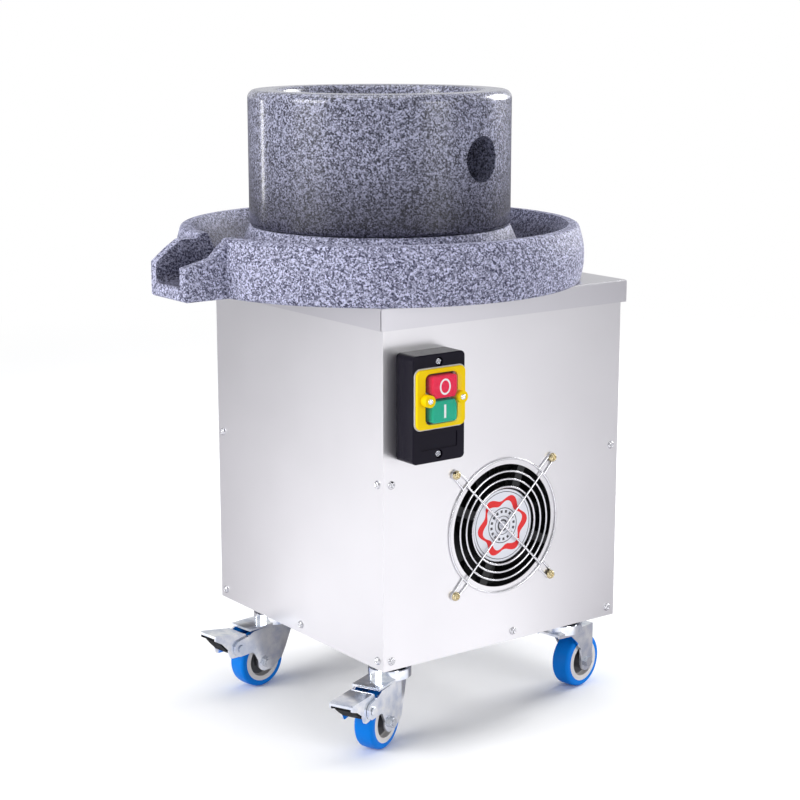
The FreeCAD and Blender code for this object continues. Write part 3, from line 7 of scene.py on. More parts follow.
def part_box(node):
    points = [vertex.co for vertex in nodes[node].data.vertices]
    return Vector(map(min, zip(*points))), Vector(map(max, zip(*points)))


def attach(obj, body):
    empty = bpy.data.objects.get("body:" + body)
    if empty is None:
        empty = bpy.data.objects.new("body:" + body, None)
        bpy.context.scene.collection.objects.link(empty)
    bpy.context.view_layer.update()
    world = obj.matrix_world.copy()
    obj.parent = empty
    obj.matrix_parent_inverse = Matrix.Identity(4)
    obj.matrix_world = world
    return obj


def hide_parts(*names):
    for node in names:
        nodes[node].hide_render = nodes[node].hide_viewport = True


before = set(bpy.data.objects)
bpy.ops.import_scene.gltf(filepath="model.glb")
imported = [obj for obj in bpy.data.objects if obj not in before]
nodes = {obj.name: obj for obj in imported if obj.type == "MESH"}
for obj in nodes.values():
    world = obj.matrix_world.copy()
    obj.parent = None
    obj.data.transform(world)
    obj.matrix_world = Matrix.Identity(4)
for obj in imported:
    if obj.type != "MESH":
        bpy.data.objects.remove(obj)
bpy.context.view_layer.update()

# The room
# A white studio: a pale floor that runs off into a white surround, with large soft lamps to the left,
# to the right, in front and overhead, and a narrow one behind on the left, whose light draws the
# upright streak on the upper stone. The camera stands where the photograph was taken from.


class Value:
    """A shader socket that can be used in Python sums: each operator adds one Math node."""

    def __init__(self, tree, socket):
        self.tree = tree
        self.socket = socket

    def math(self, operation, *others):
        """One Math node with this socket as its first input and the others after it."""
        node = self.tree.nodes.new("ShaderNodeMath")
        node.operation = operation
        for slot, item in zip(node.inputs, (self,) + others):
            put(self.tree, slot, item)
        return Value(self.tree, node.outputs[0])

    def __add__(self, other):
        return self.math("ADD", other)

    __radd__ = __add__

    def __sub__(self, other):
        return self.math("SUBTRACT", other)

    def __rsub__(self, other):
        return (self * -1.0) + other

    def __mul__(self, other):
        return self.math("MULTIPLY", other)

    __rmul__ = __mul__

    def __truediv__(self, other):
        return self.math("DIVIDE", other)

    def __rtruediv__(self, other):
        return self.math("POWER", -1.0) * other

    def __gt__(self, other):
        return self.math("GREATER_THAN", other)

    def __lt__(self, other):
        return self.math("LESS_THAN", other)

    def __abs__(self):
        return self.math("ABSOLUTE")


def put(tree, slot, item):
    """Links a socket or writes a plain value into an input."""
    if isinstance(item, Value):
        tree.links.new(item.socket, slot)
    elif isinstance(item, bpy.types.NodeSocket):
        tree.links.new(item, slot)
    elif item is not None:
        slot.default_value = item


def opaque(item):
    """A colour of three numbers gets a fourth, 1; a socket stays as it is."""
    return (*item, 1.0) if isinstance(item, tuple) else item


class Finish:
    """A material under construction, with one method that adds any node."""

    def __init__(self, name, metallic=0.0, roughness=0.5, **constants):
        self.material = bpy.data.materials.new(name)
        self.material.use_nodes = True
        self.tree = self.material.node_tree
        self.shader = self.tree.nodes["Principled BSDF"]
        self.shader.inputs["Metallic"].default_value = metallic
        self.shader.inputs["Roughness"].default_value = roughness
        for key, item in constants.items():
            self.shader.inputs[key.replace("_", " ")].default_value = item
        self.place = self.node("ShaderNodeTexCoord").outputs["Object"]

    def node(self, kind, settings=None, **sockets):
        """Adds a node, sets its options first and then its inputs, by name or by i0, i1 and so on."""
        made = self.tree.nodes.new(kind)
        for key, item in (settings or {}).items():
            if key == "stops":
                ramp = made.color_ramp
                while len(ramp.elements) < len(item):
                    ramp.elements.new(0.5)
                for stop, (at, colour) in zip(ramp.elements, item):
                    stop.position = at
                    stop.color = (*colour, 1.0)
            else:
                setattr(made, key, item)
        for key, item in sockets.items():
            slot = made.inputs[int(key[1:])] if key[0] == "i" and key[1:].isdigit() else made.inputs[key]
            put(self.tree, slot, item)
        return made

    def value(self, socket):
        """The socket in a form that takes part in sums."""
        return Value(self.tree, socket)

    def axes(self, source=None):
        """The three parts of a vector or colour, or of the place in Object coordinates."""
        split = self.node("ShaderNodeSeparateXYZ", i0=source or self.place)
        return [self.value(socket) for socket in split.outputs]

    def noise(self, scale, detail=3.0, stretch=(1, 1, 1)):
        """Noise value over Object coordinates in metres, stretched along the axes."""
        spread = self.node("ShaderNodeMapping", i0=self.place, i3=stretch)
        made = self.node("ShaderNodeTexNoise", Vector=spread.outputs[0], Scale=scale, Detail=detail)
        return self.value(made.outputs[0])

    def ease(self, value, start, end, first=0.0, last=1.0):
        """first up to start, then a smooth run that reaches last at end."""
        made = self.node("ShaderNodeMapRange", {"interpolation_type": "SMOOTHSTEP"}, Value=value,
                         i1=start, i2=end, i3=first, i4=last)
        return self.value(made.outputs[0])

    def ramp(self, value, stops):
        """Colour that runs from stop to stop as the value rises."""
        return self.node("ShaderNodeValToRGB", {"stops": stops}, Fac=value).outputs[0]

    def blend(self, mask, first, second):
        """Colour first where mask is 0 and second where it is 1."""
        made = self.node("ShaderNodeMix", {"data_type": "RGBA", "clamp_factor": True}, i0=mask)
        for slot, item in ((made.inputs[6], first), (made.inputs[7], second)):
            put(self.tree, slot, opaque(item))
        return made.outputs[2]

    def bump(self, height, strength, distance):
        """Height in the shading alone: distance is how high a 1 stands, in metres."""
        made = self.node("ShaderNodeBump", Height=height, Strength=strength, Distance=distance)
        self.tree.links.new(made.outputs[0], self.shader.inputs["Normal"])
        return self

    def colour(self, item):
        put(self.tree, self.shader.inputs["Base Color"], opaque(item))
        return self

    def rough(self, item):
        put(self.tree, self.shader.inputs["Roughness"], item)
        return self

    def on(self, *objects):
        """Makes this the only material of each object."""
        for thing in objects:
            thing.data.materials.clear()
            thing.data.materials.append(self.material)
        return self


CAMERA_TURN = math.radians(-36.464)
CAMERA_TILT = math.radians(11.954)
CAMERA_PLACE = (-0.92797, -1.30809, 0.61259)
back = Vector((math.sin(CAMERA_TURN) * math.cos(CAMERA_TILT),
               -math.cos(CAMERA_TURN) * math.cos(CAMERA_TILT), math.sin(CAMERA_TILT)))
right = Vector((math.cos(CAMERA_TURN), math.sin(CAMERA_TURN), 0))
facing = Matrix((right, back.cross(right), back)).transposed().to_4x4()
camera = bpy.data.objects.new("camera", bpy.data.cameras.new("camera"))
bpy.context.scene.collection.objects.link(camera)
camera.matrix_world = Matrix.Translation(CAMERA_PLACE) @ facing
camera.data.sensor_width = 36.0
camera.data.lens = 83.55
camera.data.clip_end = 50
bpy.context.scene.camera = camera


def grid_faces(rows, columns, close_u=False, close_v=False):
    """Four-cornered faces of a grid of points; closing a direction joins its last line to its first."""
    index = np.arange(rows * columns).reshape(rows, columns)
    if close_u:
        index = np.vstack((index, index[:1]))
    if close_v:
        index = np.hstack((index, index[:, :1]))
    return np.stack((index[:-1, :-1], index[1:, :-1], index[1:, 1:], index[:-1, 1:]), -1).reshape(-1, 4)


def sheet_mesh(name, points, close_u=False, close_v=False, smooth=True):
    """Mesh of a grid of points in an array of rows, columns and three coordinates."""
    quads = grid_faces(*points.shape[:2], close_u, close_v)
    return solid_mesh(name, points.reshape(-1, 3), quads, smooth)


def solid_mesh(name, points, quads, smooth=True):
    """Mesh object from an array of points in metres and an array of four-cornered faces."""
    mesh = bpy.data.meshes.new(name)
    mesh.vertices.add(len(points))
    mesh.vertices.foreach_set("co", np.asarray(points, np.float32).ravel())
    mesh.loops.add(quads.size)
    mesh.loops.foreach_set("vertex_index", quads.ravel().astype(np.int32))
    mesh.polygons.add(len(quads))
    mesh.polygons.foreach_set("loop_start", np.arange(0, quads.size, 4, dtype=np.int32))
    mesh.polygons.foreach_set("use_smooth", np.full(len(quads), smooth))
    mesh.update()
    mesh.validate()
    thing = bpy.data.objects.new(name, mesh)
    bpy.context.scene.collection.objects.link(thing)
    return thing


# The floor is a pale grey that catches the shadow. The camera is shown it a little over white, and
# metal mirrors it white on the left and in front, and grey from the front right round to the rear.
FLOOR_REACH = 40
DARK_SIDE = (0.777, 0.629)
edge = np.linspace(-FLOOR_REACH, FLOOR_REACH, 3)
across, along = np.meshgrid(edge, edge)
floor = sheet_mesh("floor", np.stack((across, along, np.zeros_like(across)), -1))
floor_paint = Finish("studio_floor", roughness=0.9)
floor_paint.shader.inputs["Specular IOR Level"].default_value = 0.0
rays = floor_paint.node("ShaderNodeLightPath")
shown = floor_paint.value(rays.outputs["Is Camera Ray"]).math(
    "MAXIMUM", rays.outputs["Is Transmission Ray"])
px, py = floor_paint.axes()[:2]
distance = (px * px + py * py).math("SQRT")
greyer = floor_paint.ease((px * DARK_SIDE[0] + py * DARK_SIDE[1]) / distance, -0.12, 0.20)
mirrored = floor_paint.blend(greyer, (1.02, 1.01, 1.03), (0.42, 0.41, 0.43))
tone = floor_paint.blend(rays.outputs["Is Glossy Ray"], (0.80, 0.80, 0.81), mirrored)
floor_paint.colour(floor_paint.blend(shown, tone, (1.04, 1.04, 1.04)))
far_white = floor_paint.node("ShaderNodeEmission", Color=(1, 1, 1, 1), Strength=1.0)
far_off = floor_paint.ease(distance, 0.9, 2.2)
into = floor_paint.node("ShaderNodeMixShader", i0=far_off * shown)
floor_paint.tree.links.new(floor_paint.shader.outputs[0], into.inputs[1])
floor_paint.tree.links.new(far_white.outputs[0], into.inputs[2])
floor_paint.tree.links.new(into.outputs[0], floor_paint.tree.nodes["Material Output"].inputs[0])
floor_paint.on(floor)

# The surround lights the object faintly. The camera and clear plastic see it white, metal half white.
world = bpy.data.worlds.new("studio")
bpy.context.scene.world = world
world.use_nodes = True
air = world.node_tree
seen = air.nodes.new("ShaderNodeLightPath")
plain = air.nodes["Background"]
plain.inputs[0].default_value = (0.93, 0.95, 1.0, 1)
plain.inputs[1].default_value = 0.40
white = air.nodes.new("ShaderNodeBackground")
white.inputs[0].default_value = (1, 1, 1, 1)
white.inputs[1].default_value = 1.0
glossy = Value(air, seen.outputs["Is Glossy Ray"])
through = Value(air, seen.outputs["Is Transmission Ray"])
seen_white = Value(air, seen.outputs["Is Camera Ray"])
choose = air.nodes.new("ShaderNodeMixShader")
put(air, choose.inputs[0], seen_white.math("MAXIMUM", glossy * 0.5).math("MAXIMUM", through))
air.links.new(plain.outputs[0], choose.inputs[1])
air.links.new(white.outputs[0], choose.inputs[2])
air.links.new(choose.outputs[0], air.nodes["World Output"].inputs[0])

bpy.context.scene.view_settings.view_transform = "Standard"


def lamp(name, place, aim, width, height, power):
    """Soft rectangular lamp at place that points at aim, with sizes in metres and power in watts."""
    light = bpy.data.lights.new(name, "AREA")
    light.shape = "RECTANGLE"
    light.size = width
    light.size_y = height
    light.energy = power
    thing = bpy.data.objects.new(name, light)
    bpy.context.scene.collection.objects.link(thing)
    thing.location = place
    thing.rotation_euler = (Vector(aim) - Vector(place)).to_track_quat("-Z", "Y").to_euler()
    thing.visible_camera = False


lamp("lamp_left", (-2.7, 0.4, 1.2), (0, 0, 0.4), 1.6, 1.6, 60)
lamp("lamp_strip", (-0.60, 1.25, 0.47), (0, 0, 0.50), 0.10, 0.30, 0.7)
lamp("lamp_right", (2.6, 0.1, 1.2), (0, 0, 0.4), 1.4, 1.4, 62)
lamp("lamp_front", (0.7, -2.8, 0.9), (0, 0, 0.25), 1.2, 1.0, 22)
lamp("lamp_over", (-0.2, 0.2, 2.6), (0, 0, 0.3), 1.8, 1.8, 22)

# The two granite stones
# Grey granite with a blue cast, turned on a lathe and cored. The upper stone is polished, so it is
# darker and shows the lamps; the lower one, with its trough and spout, is only honed.

MM_PER_METRE = 1000.0
# Tint that the painted shade multiplies into the grain.
SHADE_TINT = (0.28, 0.27, 0.30, 1)


def granite(name, dark, light, roughness, coat, painted_shade):
    """Grains of about 1.3 and 0.7 mm: random cells of two sizes over warped coordinates pick a shade.

    The function given as the last argument turns the finish into a mask, from 0 to 1, of painted shade
    that darkens the stone.
    """
    stone = Finish(name, roughness=roughness, Specular_IOR_Level=0.3)
    stone.shader.inputs["Coat Roughness"].default_value = 0.10
    stone.shader.inputs["Coat Weight"].default_value = coat
    wander = stone.node("ShaderNodeTexNoise", Vector=stone.place, Scale=900.0, Detail=2.0)
    shift = stone.node("ShaderNodeVectorMath", {"operation": "MULTIPLY_ADD"},
                       i0=wander.outputs["Color"], i1=(0.0011, 0.0011, 0.0011), i2=stone.place)
    large = stone.node("ShaderNodeTexVoronoi", Vector=shift.outputs[0], Scale=0.78 * MM_PER_METRE)
    small = stone.node("ShaderNodeTexVoronoi", Vector=shift.outputs[0], Scale=1.5 * MM_PER_METRE)
    pick_large = stone.axes(large.outputs["Color"])[0]
    pick_small = stone.axes(small.outputs["Color"])[1]
    speck = stone.axes(large.outputs["Color"])[2] > 0.84
    cloud = stone.noise(14.0, 3.0)
    shade = pick_large * 0.60 + pick_small * 0.40 + (cloud - 0.5) * 0.22
    middle = tuple(0.60 * d + 0.40 * p for d, p in zip(dark, light))
    darker = tuple(0.5 * d + 0.5 * m for d, m in zip(dark, middle))
    paler = tuple(0.30 * m + 0.70 * p for m, p in zip(middle, light))
    stops = [(0.10, dark), (0.32, darker), (0.50, middle), (0.70, paler), (0.92, light)]
    grain = stone.blend(speck * 0.85, stone.ramp(shade, stops), dark)
    # Painted shade: the grain multiplied by the tint, shown where the mask is 1.
    shaded_grain = stone.node("ShaderNodeMix", {"data_type": "RGBA", "blend_type": "MULTIPLY"}, i0=1.0)
    put(stone.tree, shaded_grain.inputs[6], grain)
    shaded_grain.inputs[7].default_value = SHADE_TINT
    stone.colour(stone.blend(painted_shade(stone), grain, shaded_grain.outputs[2]))
    stone.rough(pick_small * 0.10 + (roughness - 0.05))
    return stone.bump(pick_large + pick_small, 0.05, 0.00008)


runner_low, runner_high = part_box("runner_stone")
SPINDLE_X = (runner_low[0] + runner_high[0]) / 2
BED_TOP = runner_low[2] - 0.0004
TROUGH_R, CHANNEL_FLOOR = 0.138, 0.3928


def foot_painted_shade(stone):
    """Painted shade: strongest at the lower edge, gone about 75 mm above it, and broken up by a cloud.
    """
    upright = stone.axes()[2]
    return stone.ease(upright + stone.noise(9.0) * 0.02, BED_TOP + 0.008, BED_TOP + 0.085, 1.0, 0.0)


def trough_painted_shade(stone):
    """Painted shade in the hollows: the trough is a ring between two radii, and the spout's channel a
    strip that leads out of it.

    Both masks hold below the stone's top face and above the channel's floor.
    """
    x, y, z = stone.axes()
    across = x - SPINDLE_X
    radius = (across * across + y * y).math("SQRT")
    ring = stone.ease(abs(radius - TROUGH_R), 0.016, 0.026, 1.0, 0.0)
    strip = stone.ease(abs(y), 0.0185, 0.0195, 1.0, 0.0) * stone.ease(x, -0.118, -0.110, 1.0, 0.0)
    below_top = stone.ease(z, BED_TOP - 0.008, BED_TOP - 0.001, 1.0, 0.0)
    above_floor = z > CHANNEL_FLOOR - 0.0007
    return ring.math("MAXIMUM", strip) * below_top * above_floor * 0.8


# Painted shade darkens the foot of the upper stone and the trough and spout channel of the lower one.
granite("runner_granite", (0.003, 0.003, 0.012), (0.46, 0.47, 0.63), 0.28, 0.6, foot_painted_shade).on(
    nodes["runner_stone"])
granite("bed_granite", (0.024, 0.024, 0.060), (0.64, 0.65, 0.86), 0.60, 0.0, trough_painted_shade).on(
    nodes["bed_stone"])

# Cabinet sheets
# Stainless sheet of 1.2 mm, cut and folded, with a fine satin grain. Two wide panels cover the ends
# of the side panels, and the cover is a folded cap over all four.


def satin_sheet(name, grain, tint=(0.80, 0.79, 0.805)):
    """Fine lines along one direction in roughness and height, with a soft cloud in the colour."""
    steel = Finish(name, metallic=1.0, roughness=0.38)
    lines = steel.noise(900.0, 2.0, grain)
    cloud = (steel.noise(5.0, 3.0) - 0.35) / 0.3
    steel.colour(steel.blend(cloud, tuple(c * 0.93 for c in tint), tint))
    steel.rough(lines * 0.05 + 0.27)
    return steel.bump(lines, 0.02, 0.00003)


satin_sheet("satin_front", (0.02, 1, 1)).on(nodes["front_panel"], nodes["rear_panel"])
satin_sheet("satin_side", (1, 0.02, 1)).on(nodes["left_panel"], nodes["right_panel"])
# Painted shade: the cover is the same steel as the panels, tinted darker to stand in for the shade on
# it.
satin_sheet("satin_cover_painted_shade", (0.02, 1, 1), (0.70, 0.69, 0.72)).on(nodes["top_cover"])
satin_sheet("satin_base", (0.02, 1, 1), (0.62, 0.62, 0.63)).on(nodes["base_plate"])

# Frame inside the cabinet
# Angle posts and the thick mounting plate are mild steel with a grey primer, sprayed on and left
# as it is, because nobody sees it.


def primer(name, tint):
    """Sprayed primer: a fine orange peel in the height and faint clouds in the colour."""
    coat = Finish(name, roughness=0.62)
    cloud = coat.noise(9.0, 3.0)
    coat.colour(coat.blend(cloud, tint, tuple(c * 0.8 for c in tint)))
    return coat.bump(coat.noise(650.0, 2.0), 0.2, 0.0001)


primer("grey_primer", (0.30, 0.31, 0.33)).on(nodes["corner_posts"], nodes["mounting_plate"])

# Drive inside the cabinet
# A cast gear case under the mounting plate, with a finned motor below it. Shafts and gears are
# machined steel, bearings are ground, the bush in the lower stone is bronze.


def machined(name, tint, roughness):
    """Turned or milled metal: fine rings about the upright axis in roughness and height."""
    metal = Finish(name, metallic=1.0, roughness=roughness)
    rings = metal.node("ShaderNodeTexNoise", {"noise_dimensions": "1D"}, W=metal.axes()[2],
                       Scale=2600.0, Detail=2.0)
    marks = metal.value(rings.outputs[0])
    metal.colour(metal.blend(metal.noise(25.0), tint, tuple(c * 0.86 for c in tint)))
    metal.rough(marks * 0.2 + (roughness - 0.1))
    return metal.bump(marks, 0.08, 0.00005)


def cast(name, tint):
    """Sand-cast aluminium: grainy height and a dull, slightly uneven colour."""
    metal = Finish(name, metallic=1.0, roughness=0.5)
    grain = metal.noise(900.0, 4.0)
    metal.colour(metal.blend(metal.noise(12.0), tint, tuple(c * 0.85 for c in tint)))
    metal.rough(grain * 0.25 + 0.38)
    return metal.bump(grain, 0.35, 0.0002)


machined("machined_steel", (0.62, 0.63, 0.65), 0.30).on(
    *[nodes[n] for n in ("spindle", "output_gear", "countershaft", "motor_shaft", "runner_driver")])
machined("ground_steel", (0.75, 0.76, 0.78), 0.16).on(nodes["shaft_bearings"], nodes["hex_bolts"])
machined("bush_bronze", (0.62, 0.40, 0.19), 0.28).on(nodes["bed_bush"])
cast("cast_case", (0.60, 0.61, 0.62)).on(nodes["gearbox_case"], nodes["gearbox_cover"])
cast("motor_shell", (0.50, 0.51, 0.53)).on(nodes["motor_housing"], nodes["motor_end_cover"])

core = Finish("core_plates", metallic=0.8, roughness=0.55)
plates = core.value(core.node("ShaderNodeTexWave", {"bands_direction": "Z"}, Vector=core.place,
                              Scale=320.0).outputs[1])
core.colour(core.blend(plates, (0.09, 0.09, 0.095), (0.17, 0.17, 0.18)))
core.bump(plates, 0.4, 0.0002).on(nodes["motor_rotor"], nodes["motor_stator"])

can = Finish("capacitor_can", metallic=1.0, roughness=0.25)
can.colour(can.blend(can.noise(40.0), (0.72, 0.72, 0.73), (0.62, 0.62, 0.64)))
can.bump(can.noise(300.0, 2.0, (1, 1, 0.1)), 0.1, 0.0001).on(nodes["motor_capacitor"])

# Screws
# Pan heads with a cross recess, nickel plated, hold the panels to the posts. Each is turned by its
# own angle. The fan's and the switch's screws have the same shape and come with those pieces.


def screw_heads(name, places, radius, height, recess):
    """Domed discs: height falls as the fourth power of radius, less a four-armed dip in the middle.

    The dip is half the height deep and reaches out to recess, a share of the radius. places is a list
    of (centre of the head's seat, outward direction, turn of the cross).
    """
    ring = np.linspace(0, 1, 9)[:, None]
    turn = np.linspace(0, 2 * np.pi, 41)[None, :-1]
    along_arm = np.abs(ring * np.cos(turn))
    across_arm = np.abs(ring * np.sin(turn))
    arms = np.minimum(along_arm, across_arm)
    inside = np.clip((recess - ring) / (recess * 0.25), 0, 1) * np.clip((0.20 - arms) / 0.07, 0, 1)
    rise = height * (1 - 0.85 * ring ** 4) - height * 0.5 * inside
    profile = np.stack((ring * np.cos(turn), ring * np.sin(turn), rise + 0 * turn), -1)
    skirt = profile[-1:].copy()
    skirt[..., 2] = 0
    profile = np.concatenate((profile, skirt))
    profile[..., :2] *= radius
    points, faces = [], []
    rows, columns = profile.shape[:2]
    quads = grid_faces(rows, columns, close_v=True)
    for count, (seat, out, spin) in enumerate(places):
        out = np.array(out, float)
        side = np.cross(out, (0.0, 0.0, 1.0))
        side /= np.linalg.norm(side)
        top = np.cross(side, out)
        first = side * math.cos(spin) + top * math.sin(spin)
        second = np.cross(out, first)
        body = profile[..., :1] * first + profile[..., 1:2] * second + profile[..., 2:] * out
        points.append(body.reshape(-1, 3) + np.array(seat))
        faces.append(quads + count * rows * columns)
    return solid_mesh(name, np.concatenate(points), np.concatenate(faces))


def bright_metal(name, tint, roughness=0.18):
    """Plated small part: nearly mirror-like, with a faint mottled bloom."""
    metal = Finish(name, metallic=1.0, roughness=roughness)
    bloom = metal.noise(220.0, 3.0)
    metal.colour(metal.blend(bloom, tint, tuple(c * 0.82 for c in tint)))
    return metal.rough(bloom * 0.16 + (roughness - 0.06))


front_low, front_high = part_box("front_panel")
left_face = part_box("left_panel")[0][0]
right_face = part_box("right_panel")[1][0]
front_face = front_low[1]
rear_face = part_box("rear_panel")[1][1]
SCREW_EDGE = 0.008
LOW_ROW, HIGH_ROW = 0.084, 0.234
middle_x = (front_low[0] + front_high[0]) / 2
middle_y = (front_face + rear_face) / 2
seats = []
reach = (front_high[0] - front_low[0]) / 2 - SCREW_EDGE
for face, way in ((front_face, -1), (rear_face, 1)):
    for x, z in ((-reach, HIGH_ROW), (reach, HIGH_ROW), (-reach, LOW_ROW), (reach, LOW_ROW),
                 (0.010, LOW_ROW)):
        seats.append(((middle_x + x, face, z), (0, way, 0), 0.4 + 31 * x + 17 * z))
reach = (rear_face - front_face) / 2 - SCREW_EDGE
for face, way in ((left_face, -1), (right_face, 1)):
    for y, z in ((-reach, HIGH_ROW), (reach, HIGH_ROW), (-reach, LOW_ROW), (reach, LOW_ROW),
                 (-0.005, LOW_ROW)):
        seats.append(((face, middle_y + y, z), (way, 0, 0), 1.1 + 23 * y + 11 * z))
panel_heads = screw_heads("panel_screw_heads", seats, radius=0.0035, height=0.0021, recess=0.6)
bright_metal("screw_nickel", (0.66, 0.66, 0.69), 0.14).on(panel_heads)
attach(panel_heads, "cabinet")
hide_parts("panel_screws")

# Fan
# A boxed axial fan of 120 mm behind a round cut-out. The frame and blades are black plastic, the hub
# plate carries a printed paper disc, and a guard of plated wire covers the cut-out, under four
# screws of yellow zinc.

FAN_X, FAN_Z = 0.0489, 0.1805
FAN_SCREW = 0.0525
GUARD_FACE = front_face - 0.0018


def moulded(name, tint, roughness=0.45, grain=0.15, **constants):
    """Moulded plastic: a fine texture in the height and slightly uneven gloss."""
    plastic = Finish(name, roughness=roughness, **constants)
    plastic.colour(plastic.blend(plastic.noise(30.0), tint, tuple(c * 0.85 for c in tint)))
    plastic.rough(plastic.noise(120.0) * 0.15 + (roughness - 0.07))
    return plastic.bump(plastic.noise(1500.0, 2.0), grain, 0.00008)


moulded("fan_black", (0.008, 0.008, 0.010), 0.55).on(nodes["fan_frame"], nodes["fan_rotor"])

# The print's radii are in millimetres from the hub's middle: a red ring round 22 that waves and
# swells six times, thin dark rings at 4.6, 8, 15.2 and 29.4, and sixteen ticks at 12.2.
label = Finish("fan_label_print", roughness=0.42)
x, y, z = label.axes()
u = (x - FAN_X) * MM_PER_METRE
v = (z - FAN_Z) * MM_PER_METRE
radius = (u * u + v * v).math("SQRT")
angle = v.math("ARCTAN2", u)
wave = (angle * 6.0 + 0.6).math("SINE")
swell = (angle * 6.0 + 1.9).math("SINE")
red_ring = abs(radius - 22.0 - wave * 2.3) < (swell * 1.1 + 2.3)
ring_line = (abs(radius - 15.2) < 0.35).math("MAXIMUM", abs(radius - 29.4) < 0.3)
ticks = ((angle * 16.0).math("SINE") > 0.1) * (abs(radius - 12.2) < 1.2)
core_dot = (abs(radius - 4.6) < 0.8).math("MAXIMUM", abs(radius - 8.0) < 0.3)
ink = ring_line.math("MAXIMUM", ticks).math("MAXIMUM", core_dot)
paper = label.blend(label.noise(60.0), (0.86, 0.87, 0.92), (0.79, 0.80, 0.87))
label.colour(label.blend(ink, label.blend(red_ring, paper, (0.84, 0.010, 0.012)), (0.05, 0.05, 0.06)))
label.bump(label.noise(800.0, 2.0), 0.05, 0.00005).on(nodes["fan_label"])

bright_metal("guard_chrome", (0.80, 0.80, 0.83), 0.22).on(nodes["finger_guard"])

guard_seats = []
for sx in (-1, 1):
    for sz in (-1, 1):
        seat = (FAN_X + sx * FAN_SCREW, GUARD_FACE, FAN_Z + sz * FAN_SCREW)
        guard_seats.append((seat, (0, -1, 0), 0.5 + 0.6 * sx + 0.9 * sz))
guard_heads = screw_heads("guard_screw_heads", guard_seats, radius=0.0040, height=0.0032, recess=0.62)
bright_metal("zinc_yellow", (0.66, 0.56, 0.34), 0.14).on(guard_heads)
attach(guard_heads, "cabinet")
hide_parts("guard_screws")

# Switch
# A moulded black box screwed to the front panel, with a yellow bezel that clamps a soft clear
# cover over a red and a green push button. Two larger screws hold the box and two small ones the
# bezel on its posts. The ring and the bar are printed on the buttons.

SWITCH_X, CASE_Z, BEZEL_Z = -0.03785, 0.298, 0.3067
CASE_SCREW, POST_SCREW = 0.03785, 0.0164
SEAM, CASE_FACE, FLANGE = front_face - 0.0085, front_face - 0.0200, front_face - 0.0234
box = Finish("box_black", roughness=0.24, Specular_IOR_Level=0.10)
box.colour(box.blend(box.noise(18.0), (0.006, 0.005, 0.011), (0.012, 0.010, 0.019)))
seam = abs(box.axes()[1] - SEAM) < 0.0004
box.rough(box.noise(160.0) * 0.12 + 0.18)
box.bump(box.noise(1300.0, 2.0) * 0.2 - seam * 1.0, 0.35, 0.0002).on(nodes["switch_box"])

moulded("bezel_yellow", (1.0, 0.70, 0.0), 0.40, 0.06, Specular_IOR_Level=0.12).on(nodes["switch_bezel"])
moulded("contact_block", (0.03, 0.03, 0.03), 0.5).on(nodes["contact_block"])
moulded("stop_red", (0.92, 0.006, 0.065), 0.35, 0.05, Specular_IOR_Level=0.10).on(nodes["stop_button"])
moulded("start_green", (0.0, 0.46, 0.28), 0.35, 0.05, Specular_IOR_Level=0.08).on(nodes["start_button"])

clear = Finish("window_clear", roughness=0.06, Specular_IOR_Level=0.2)
flange = clear.axes()[1] > FLANGE
put(clear.tree, clear.shader.inputs["Alpha"], flange * 0.68 + 0.02)
clear.colour(clear.blend(clear.noise(40.0), (0.88, 0.88, 0.93), (0.80, 0.81, 0.88)))
clear.bump(clear.noise(60.0, 2.0), 0.08, 0.0003).on(nodes["switch_window"])


def flat_band(name, outer, inner, centre, y, thick):
    """Flat ring between two ellipses in an upright plane, as a closed loop of four-sided section."""
    turn = np.linspace(0, 2 * np.pi, 65)[:-1]
    round_ = np.stack((np.cos(turn), np.sin(turn)), -1)
    outer, inner = np.array(outer), np.array(inner)
    rings = [(outer, y), (outer, y - thick), (inner, y - thick), (inner, y)]
    points = np.stack([np.stack((centre[0] + round_[:, 0] * size[0], np.full(64, depth),
                                 centre[1] + round_[:, 1] * size[1]), -1) for size, depth in rings], 1)
    return sheet_mesh(name, points, True, True, False)


def slab_mesh(name, low, high):
    """Upright bar with eight corners as a closed tube and two end faces."""
    low, high = np.array(low), np.array(high)
    pick = np.array([(0, 0, 0), (1, 0, 0), (1, 1, 0), (0, 1, 0),
                     (0, 0, 1), (1, 0, 1), (1, 1, 1), (0, 1, 1)])
    quads = np.array([(3, 2, 1, 0), (4, 5, 6, 7), (0, 1, 5, 4),
                      (1, 2, 6, 5), (2, 3, 7, 6), (3, 0, 4, 7)])
    return solid_mesh(name, low + pick * (high - low), quads, False)


stop_low, stop_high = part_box("stop_button")
start_low, start_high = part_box("start_button")
print_white = Finish("printed_white", roughness=0.35)
print_white.colour(print_white.blend(print_white.noise(500.0), (0.92, 0.92, 0.93), (0.84, 0.84, 0.86)))
RING_OUTER, RING_INNER = (0.0055, 0.0066), (0.0040, 0.0051)
BAR_WIDE, BAR_HIGH, INK = 0.0010, 0.0055, 0.0001
stop_middle = (SWITCH_X, (stop_low[2] + stop_high[2]) / 2)
ring_sign = flat_band("stop_ring", RING_OUTER, RING_INNER, stop_middle, stop_low[1] + INK, 2 * INK)
start_middle = (start_low[2] + start_high[2]) / 2
bar_sign = slab_mesh("start_bar", (SWITCH_X - BAR_WIDE, start_low[1] - INK, start_middle - BAR_HIGH),
                     (SWITCH_X + BAR_WIDE, start_low[1] + INK, start_middle + BAR_HIGH))
print_white.on(ring_sign, bar_sign)
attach(ring_sign, "stop_button")
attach(bar_sign, "start_button")

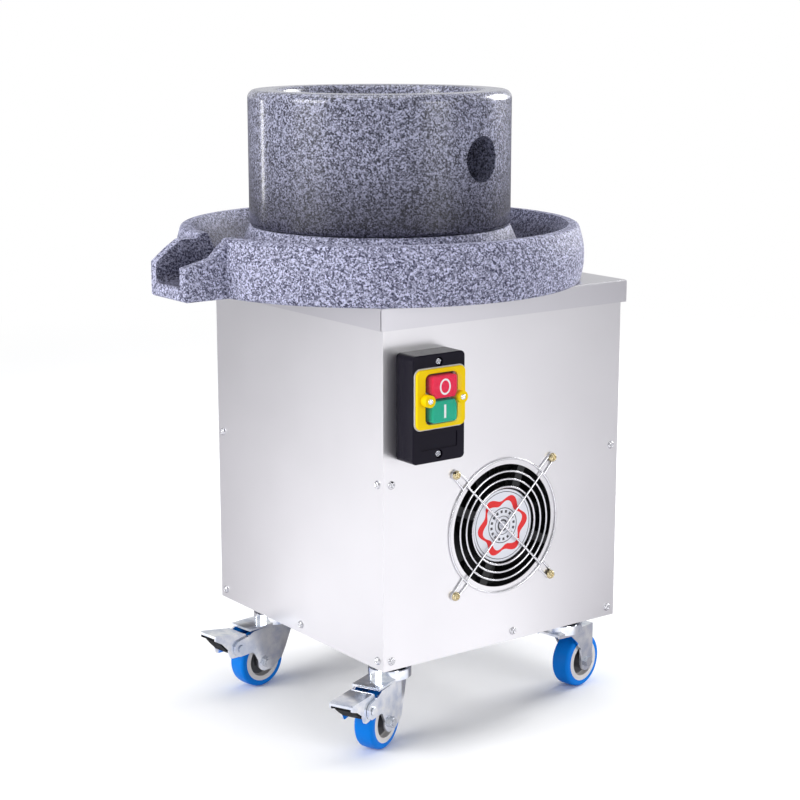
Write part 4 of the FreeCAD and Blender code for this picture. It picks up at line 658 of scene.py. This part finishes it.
bezel_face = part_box("switch_bezel")[0][1]
case_seats = [((SWITCH_X, CASE_FACE, z), (0, -1, 0), spin)
              for z, spin in ((CASE_Z - CASE_SCREW, 0.5), (CASE_Z + CASE_SCREW, 1.2))]
case_heads = screw_heads("switch_case_screw_heads", case_seats, radius=0.0034, height=0.0018, recess=0.6)
post_seats = [((SWITCH_X + s * POST_SCREW, bezel_face, BEZEL_Z), (0, -1, 0), 0.8) for s in (-1, 1)]
post_heads = screw_heads("switch_post_screw_heads", post_seats, radius=0.0024, height=0.0014, recess=0.6)
bright_metal("screw_bright", (0.80, 0.82, 0.86)).on(post_heads)
bright_metal("screw_dull", (0.42, 0.43, 0.47), 0.2).on(case_heads)
for heads in (case_heads, post_heads):
    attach(heads, "cabinet")
    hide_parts("switch_screws")

# Cable gland
# A black plastic gland for a cord, moulded, with a domed nut outside the rear panel. A lock nut
# inside pulls it tight against the sheet.

moulded("gland_black", (0.02, 0.02, 0.022), 0.5).on(nodes["cable_gland"])

# Casters
# Forks, plates and pedals are pressed from steel and bright zinc plated. The wheels have a blue
# polyurethane tyre moulded on a cream hub, and the brake shoes are black rubber.


def zinc_plate(name):
    """Bright zinc: a cold, slightly uneven mirror with faint spangle in colour and gloss."""
    zinc = Finish(name, metallic=1.0, roughness=0.14)
    bloom = zinc.noise(90.0, 4.0)
    zinc.colour(zinc.blend((bloom - 0.35) / 0.3, (0.98, 0.99, 1.0), (0.66, 0.71, 0.82)))
    zinc.rough(bloom * 0.16 + 0.06)
    return zinc.bump(zinc.noise(160.0, 2.0), 0.06, 0.0002)


RECESS_R, HUB_FACE_R = 0.0135, 0.0155
zinc = zinc_plate("zinc_bright")
rubber = Finish("tyre_blue", roughness=0.42, Specular_IOR_Level=0.12)
rubber.colour(rubber.blend(rubber.noise(25.0), (0.0, 0.23, 0.82), (0.0, 0.18, 0.70)))
rubber.rough(rubber.noise(200.0) * 0.15 + 0.34)
rubber.bump(rubber.noise(700.0, 3.0), 0.12, 0.0002)
shoe_rubber = moulded("shoe_black", (0.004, 0.004, 0.005), 0.6, 0.3, Specular_IOR_Level=0.12)
bolt_metal = bright_metal("axle_bolt", (0.72, 0.74, 0.78), 0.22)
zinc.on(nodes["caster_plates"])
for corner in ("front_left", "front_right", "rear_left", "rear_right"):
    zinc.on(nodes["fork_" + corner])
    rubber.on(nodes["tyre_" + corner])
    bolt_metal.on(nodes["axle_" + corner])
    hub_low, hub_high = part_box("hub_" + corner)
    hub = Finish("hub_cream_" + corner, roughness=0.42)
    off = hub.node("ShaderNodeVectorMath", {"operation": "DISTANCE"}, i0=hub.place,
                   i1=[(a + b) / 2 for a, b in zip(hub_low, hub_high)])
    from_axle = hub.value(off.outputs["Value"])
    # Painted shade: the hub goes nearly black inside the recess round the axle.
    recess_painted_shade = hub.ease(from_axle, RECESS_R, HUB_FACE_R, 1.0, 0.0)
    cream = hub.blend(hub.noise(60.0), (0.80, 0.77, 0.75), (0.70, 0.67, 0.66))
    hub.colour(hub.blend(recess_painted_shade, cream, (0.085, 0.085, 0.095)))
    hub.rough(hub.noise(150.0) * 0.15 + 0.36)
    hub.bump(hub.noise(900.0, 2.0), 0.1, 0.0001).on(nodes["hub_" + corner])
for corner in ("front_left", "rear_left"):
    zinc.on(nodes["pedal_" + corner])
    shoe_rubber.on(nodes["shoe_" + corner])
